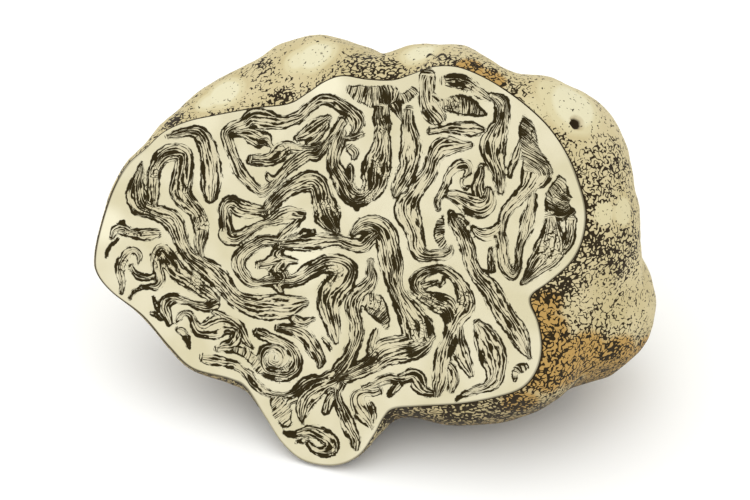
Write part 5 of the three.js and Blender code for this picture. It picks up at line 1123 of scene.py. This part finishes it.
def peridium():
    finish, place, read = new_finish("truffle_peridium_dry_rind", [
        "furrow", "crease", "pale", "stains_and_shade", "freckles_and_shade", "painted_underside_shade", "into_pit", "crater", "from_rim",
    ])
    tree = finish.node_tree
    share = {
        name: add(tree, "MapRange", {
            "Value": read[measure], "From Min": start, "From Max": full, "To Max": most,
        })
        for name, (measure, start, full, most) in SKIN_STEPS.items()
    }

    # Freckles thicken into the furrows as painted shade.
    from_furrow = add(tree, "Math", {0: share["furrow_shade"], 1: 0.8}, operation="MULTIPLY")
    placed = add(tree, "Math", {0: from_furrow, 1: read["freckles_and_shade"]}, operation="MAXIMUM")
    scattered = wavering(tree, place, 0.35, (0.35, 0.7), 0.08, 0.34, Detail=2.0)
    wanted = add(tree, "Math", {0: placed, 1: scattered}, operation="ADD")
    kept_off = add(tree, "Math", {0: read["pale"], 1: 1.2}, operation="MULTIPLY")
    density = add(tree, "Math", {0: wanted, 1: kept_off}, operation="SUBTRACT")
    curves = add(tree, "TexNoise", {"Vector": place, "Scale": 2.0, "Detail": 0.0, "Distortion": 0.4})
    centred = add(tree, "Math", {0: curves, 1: 0.5}, operation="SUBTRACT")
    curve_width = add(tree, "MapRange", {
        "Value": density, "From Max": 1.4, "To Min": 0.055, "To Max": 0.155,
    })
    curve = stroke(tree, centred, curve_width, CURVE_SOFTNESS)
    breaks = add(tree, "TexNoise", {"Vector": place, "Scale": 2.1, "Detail": 1.0, "Roughness": 0.7})
    lowest_kept = add(tree, "MapRange", {
        "Value": density, "From Max": 1.2, "To Min": 0.63, "To Max": 0.14,
    })
    break_margin = add(tree, "Math", {0: breaks, 1: lowest_kept}, operation="SUBTRACT")
    dash = add(tree, "MapRange", {"Value": break_margin, "From Min": -0.01, "From Max": 0.02})
    freckle = add(tree, "Math", {0: curve, 1: dash}, operation="MULTIPLY")
    # Dark marks: freckles, then the pits and the creases, both partly painted shade, the crater arcs and
    # the edge.
    marks = freckle
    for name in ("in_pit", "crease_shade_line", "on_crater", "at_edge"):
        marks = add(tree, "Math", {0: marks, 1: share[name]}, operation="MAXIMUM")

    cloud = wavering(tree, place, 0.16, (0.35, 0.65), 0.0, 1.0, Detail=3.0, Roughness=0.55)
    # Painted shade in the furrows: an ochre that wavers.
    furrow_noise = add(tree, "TexNoise", {"Vector": place, "Scale": 0.3, "Detail": 2.0})
    furrow_shade_colour = laid_over(tree, linear("#A38556"), [(furrow_noise, "#AD8448")])
    # Orange-brown stains and painted shade, with a ragged edge.
    stain_and_shade_edge = add(tree, "TexNoise", {"Vector": place, "Scale": 0.5, "Detail": 3.0})
    stain_and_shade_sum = add(tree, "Math", {0: stain_and_shade_edge, 1: 0.5, 2: read["stains_and_shade"]}, operation="MULTIPLY_ADD")
    stain_and_shade_share = add(tree, "MapRange", {"Value": stain_and_shade_sum, "From Min": 0.45, "From Max": 0.95})
    # Dark-brown painted shade where the skin faces down.
    underside_shade_share = add(tree, "Math", {0: read["painted_underside_shade"], 1: 0.7}, operation="MULTIPLY")
    # Over the tan: a random tone, two steps of painted highlight, painted shade in the furrows, stains with
    # orange-brown painted shade, dark-brown painted shade underneath, brown rims round the pits, and the
    # dark marks.
    colour = laid_over(tree, linear("#BAAC81"), [
        (cloud, "#C5B891"), (share["painted_highlight"], "#CAC099"), (share["painted_highlight_core"], "#D4CEAE"),
        (share["furrow_shade"], furrow_shade_colour), (stain_and_shade_share, "#AE8C50"), (underside_shade_share, "#816D42"),
        (share["round_pit"], "#90703E"), (marks, "#271D08"),
    ])

    velvet = add(tree, "TexNoise", {"Vector": place, "Scale": 4.0, "Detail": 3.0, "Roughness": 0.6})
    sunk = add(tree, "Math", {0: velvet, 1: freckle}, operation="SUBTRACT")
    bump = add(tree, "Bump", {"Strength": 0.35, "Distance": 0.05 * MM, "Height": sunk})
    surface = add(tree, "BsdfPrincipled", {
        "Base Color": colour, "Roughness": 0.8, "IOR": 1.45, "Specular IOR Level": 0.12,
        "Sheen Weight": 0.08, "Sheen Roughness": 0.5, "Normal": bump,
    })
    add(tree, "OutputMaterial", {"Surface": surface})
    return finish


# %% [markdown]
# ## Finish: the cut
# The real surface is gleba, moist living tissue sliced with a blade. It gives the eye creamy veins with a
# soft shine, and between them folds full of near-black lines: layers of ripe spores. A stack of wave
# textures cannot follow the folds, so each line is drawn wherever the lane number is close to a whole
# one. One noise lets the lines wander, and another swells, thins and breaks them. Broken curves, made as
# the freckles are, stand for the grains. A dark contour lies along each fold's ragged edge, where the
# flesh meets the vein. The lines are about 0.15 mm wide and 0.3 mm apart; the real layers are finer, and
# are drawn as coarse as they need to show.

# %% Gleba
LINE_SOFTNESS = 0.06
EDGE_SOFTNESS = 0.02


def gleba():
    finish, place, read = new_finish("truffle_gleba_fresh_cut", [
        "lane", "along", "fold", "depth", "crowded", "grainy", "painted_vein_highlight", "from_rim", "rim_dried",
    ])
    tree = finish.node_tree
    own_noise = add(tree, "Math", {0: read["fold"], 1: 5.3}, operation="MULTIPLY")
    follow = add(tree, "CombineXYZ", {"X": read["along"], "Y": read["lane"], "Z": own_noise})

    slow = add(tree, "VectorMath", {0: follow, 1: (0.3, 0.45, 1.0)}, operation="MULTIPLY")
    sway = wavering(tree, slow, 1.0, (0.25, 0.75), -1.0, 1.0, Detail=3.0, Roughness=0.6)
    swayed = add(tree, "Math", {0: read["lane"], 1: sway}, operation="ADD")
    off_line = add(tree, "Math", {0: swayed, 1: 0.5}, operation="PINGPONG")
    line_number = add(tree, "Math", {0: swayed}, operation="ROUND")

    line_place = add(tree, "CombineXYZ", {"X": read["along"], "Y": line_number, "Z": own_noise})
    line_run = add(tree, "VectorMath", {0: line_place, 1: (0.5, 2.3, 1.0)}, operation="MULTIPLY")
    thickness = wavering(tree, line_run, 1.0, (0.32, 0.68), 0.0, 0.45, Detail=1.0, Roughness=0.6)
    mood = wavering(tree, place, 0.3, (0.3, 0.7), -0.1, 0.12, Detail=1.0)
    crowding = add(tree, "Math", {0: read["crowded"], 1: 0.14, 2: mood}, operation="MULTIPLY_ADD")
    rough = wavering(tree, place, 3.2, (0.3, 0.7), -0.05, 0.05, Detail=1.0)
    thick = add(tree, "Math", {0: thickness, 1: crowding}, operation="ADD")
    half_line = add(tree, "Math", {0: thick, 1: rough}, operation="ADD")
    line = stroke(tree, off_line, half_line, LINE_SOFTNESS)

    bends = add(tree, "TexNoise", {"Vector": place, "Scale": 1.9, "Detail": 0.0, "Distortion": 0.6})
    off_middle = add(tree, "Math", {0: bends, 1: 0.5}, operation="SUBTRACT")
    bend_width = add(tree, "Math", {0: rough, 1: 0.4, 2: 0.05}, operation="MULTIPLY_ADD")
    bend = stroke(tree, off_middle, bend_width, CURVE_SOFTNESS)
    in_grains = add(tree, "MapRange", {"Value": read["grainy"], "From Min": 0.2, "From Max": 0.6})
    grain = add(tree, "Math", {0: in_grains, 1: bend}, operation="MULTIPLY")
    net = add(tree, "Math", {0: line, 1: grain}, operation="MAXIMUM")

    frayed = wavering(tree, place, 1.3, (0.25, 0.75), -0.13, 0.13, Detail=2.0, Roughness=0.5)
    reach = add(tree, "Math", {0: read["depth"], 1: frayed}, operation="ADD")
    edge_swell = wavering(tree, place, 0.5, (0.36, 0.64), -0.04, 0.17, Detail=2.0, Roughness=0.6)
    edge_width = add(tree, "Math", {0: read["crowded"], 1: 0.1, 2: edge_swell}, operation="MULTIPLY_ADD")
    off_edge = add(tree, "Math", {0: reach, 1: 0.07}, operation="SUBTRACT")
    edge = stroke(tree, off_edge, edge_width, EDGE_SOFTNESS)
    either = add(tree, "Math", {0: net, 1: edge}, operation="MAXIMUM")
    in_flesh = add(tree, "MapRange", {"Value": reach, "From Min": -0.15, "From Max": -0.06})
    ink = add(tree, "Math", {0: either, 1: in_flesh}, operation="MULTIPLY")

    cloud = wavering(tree, place, 0.18, (0.35, 0.65), 0.0, 1.0, Detail=2.0)
    deep = add(tree, "MapRange", {"Value": read["depth"], "From Max": 0.5, "To Max": 0.5})
    rim_band = add(tree, "MapRange", {"Value": read["from_rim"], "From Min": 0.24, "From Max": 0.08})
    rim_line = add(tree, "Math", {0: rim_band, 1: read["rim_dried"]}, operation="MULTIPLY")
    # Painted highlights make some of the veins paler.
    colour = laid_over(tree, linear("#C7BF9F"), [
        (cloud, "#D2CBB0"), (read["painted_vein_highlight"], "#DFD9BE"), (deep, "#C3B897"), (rim_line, "#352A13"),
        (ink, "#292005"),
    ])

    moist = add(tree, "TexNoise", {"Vector": place, "Scale": 3.0, "Detail": 2.0})
    sunk = add(tree, "Math", {0: moist, 1: ink}, operation="SUBTRACT")
    bump = add(tree, "Bump", {"Strength": 0.3, "Distance": 0.04 * MM, "Height": sunk})
    surface = add(tree, "BsdfPrincipled", {
        "Base Color": colour, "Roughness": 0.5, "IOR": 1.4, "Specular IOR Level": 0.12, "Normal": bump,
    })
    add(tree, "OutputMaterial", {"Surface": surface})
    return finish


mesh.materials.append(peridium())
mesh.materials.append(gleba())
print("finishes:", [finish.name for finish in mesh.materials])

# %% [markdown]
# ## Table, light and camera
# A plain pale table and a soft studio light keep the eye on the half. The key light comes from the upper
# left, and the pale sky and a weak second light fill the shadows. They are strong enough to leave the
# table nearly white. The camera looks down at 40 degrees through a long lens from about two metres away,
# so the proportions show with hardly any perspective.

# %% The table
FLOOR_SIZE = 3.0
floor_mesh = bpy.data.meshes.new("table_top")
far = FLOOR_SIZE / 2
floor_mesh.from_pydata([(-far, -far, 0), (far, -far, 0), (far, far, 0), (-far, far, 0)], [], [(0, 1, 2, 3)])
floor = bpy.data.objects.new("table_top", floor_mesh)
bpy.context.scene.collection.objects.link(floor)

painted = new_finish("table_matte_paint")[0]
paint = add(painted.node_tree, "BsdfPrincipled", {"Base Color": linear("#FAFAF9"), "Roughness": 0.9})
add(painted.node_tree, "OutputMaterial", {"Surface": paint})
floor_mesh.materials.append(painted)

# %% The lights
SKY_STRENGTH = 1.04

middle = Vector((standing.max(axis=0) + standing.min(axis=0)) / 2 * MM)


def soft_light(name, place, size, power):
    lamp = bpy.data.lights.new(name, "AREA")
    lamp.size = size
    lamp.energy = power
    light = bpy.data.objects.new(name, lamp)
    light.location = middle + Vector(place)
    light.rotation_euler = (-Vector(place)).to_track_quat("-Z", "Y").to_euler()
    bpy.context.scene.collection.objects.link(light)


soft_light("key", place=(-0.45, -0.12, 0.85), size=1.6, power=4.3)
soft_light("fill", place=(0.75, -0.6, 0.5), size=1.4, power=1.6)

world = bpy.data.worlds.new("studio")
world.use_nodes = True
sky = world.node_tree.nodes["Background"]
sky.inputs["Color"].default_value = linear("#FFFFFD")
sky.inputs["Strength"].default_value = SKY_STRENGTH
bpy.context.scene.world = world
bpy.context.scene.view_settings.view_transform = "Standard"

# %% The camera
FOCAL_LENGTH = 800
SENSOR_WIDTH = 36
FRAME_WIDTH = 0.0865

toward_reader = Vector(stood(np.array([0.0, 0.0, 1.0])) - STAND)
seen_middle = (points.max(axis=0) + points.min(axis=0)) / 2 * [1, 1, 0]
target = Vector(stood(seen_middle) * MM)

camera_data = bpy.data.cameras.new("camera")
camera_data.lens = FOCAL_LENGTH
camera_data.sensor_width = SENSOR_WIDTH
camera = bpy.data.objects.new("camera", camera_data)
camera.location = target + toward_reader * (FRAME_WIDTH * FOCAL_LENGTH / SENSOR_WIDTH)
camera.rotation_euler = (-toward_reader).to_track_quat("-Z", "Y").to_euler()
bpy.context.scene.collection.objects.link(camera)
bpy.context.scene.camera = camera
print("camera at", [round(value, 3) for value in camera.location])
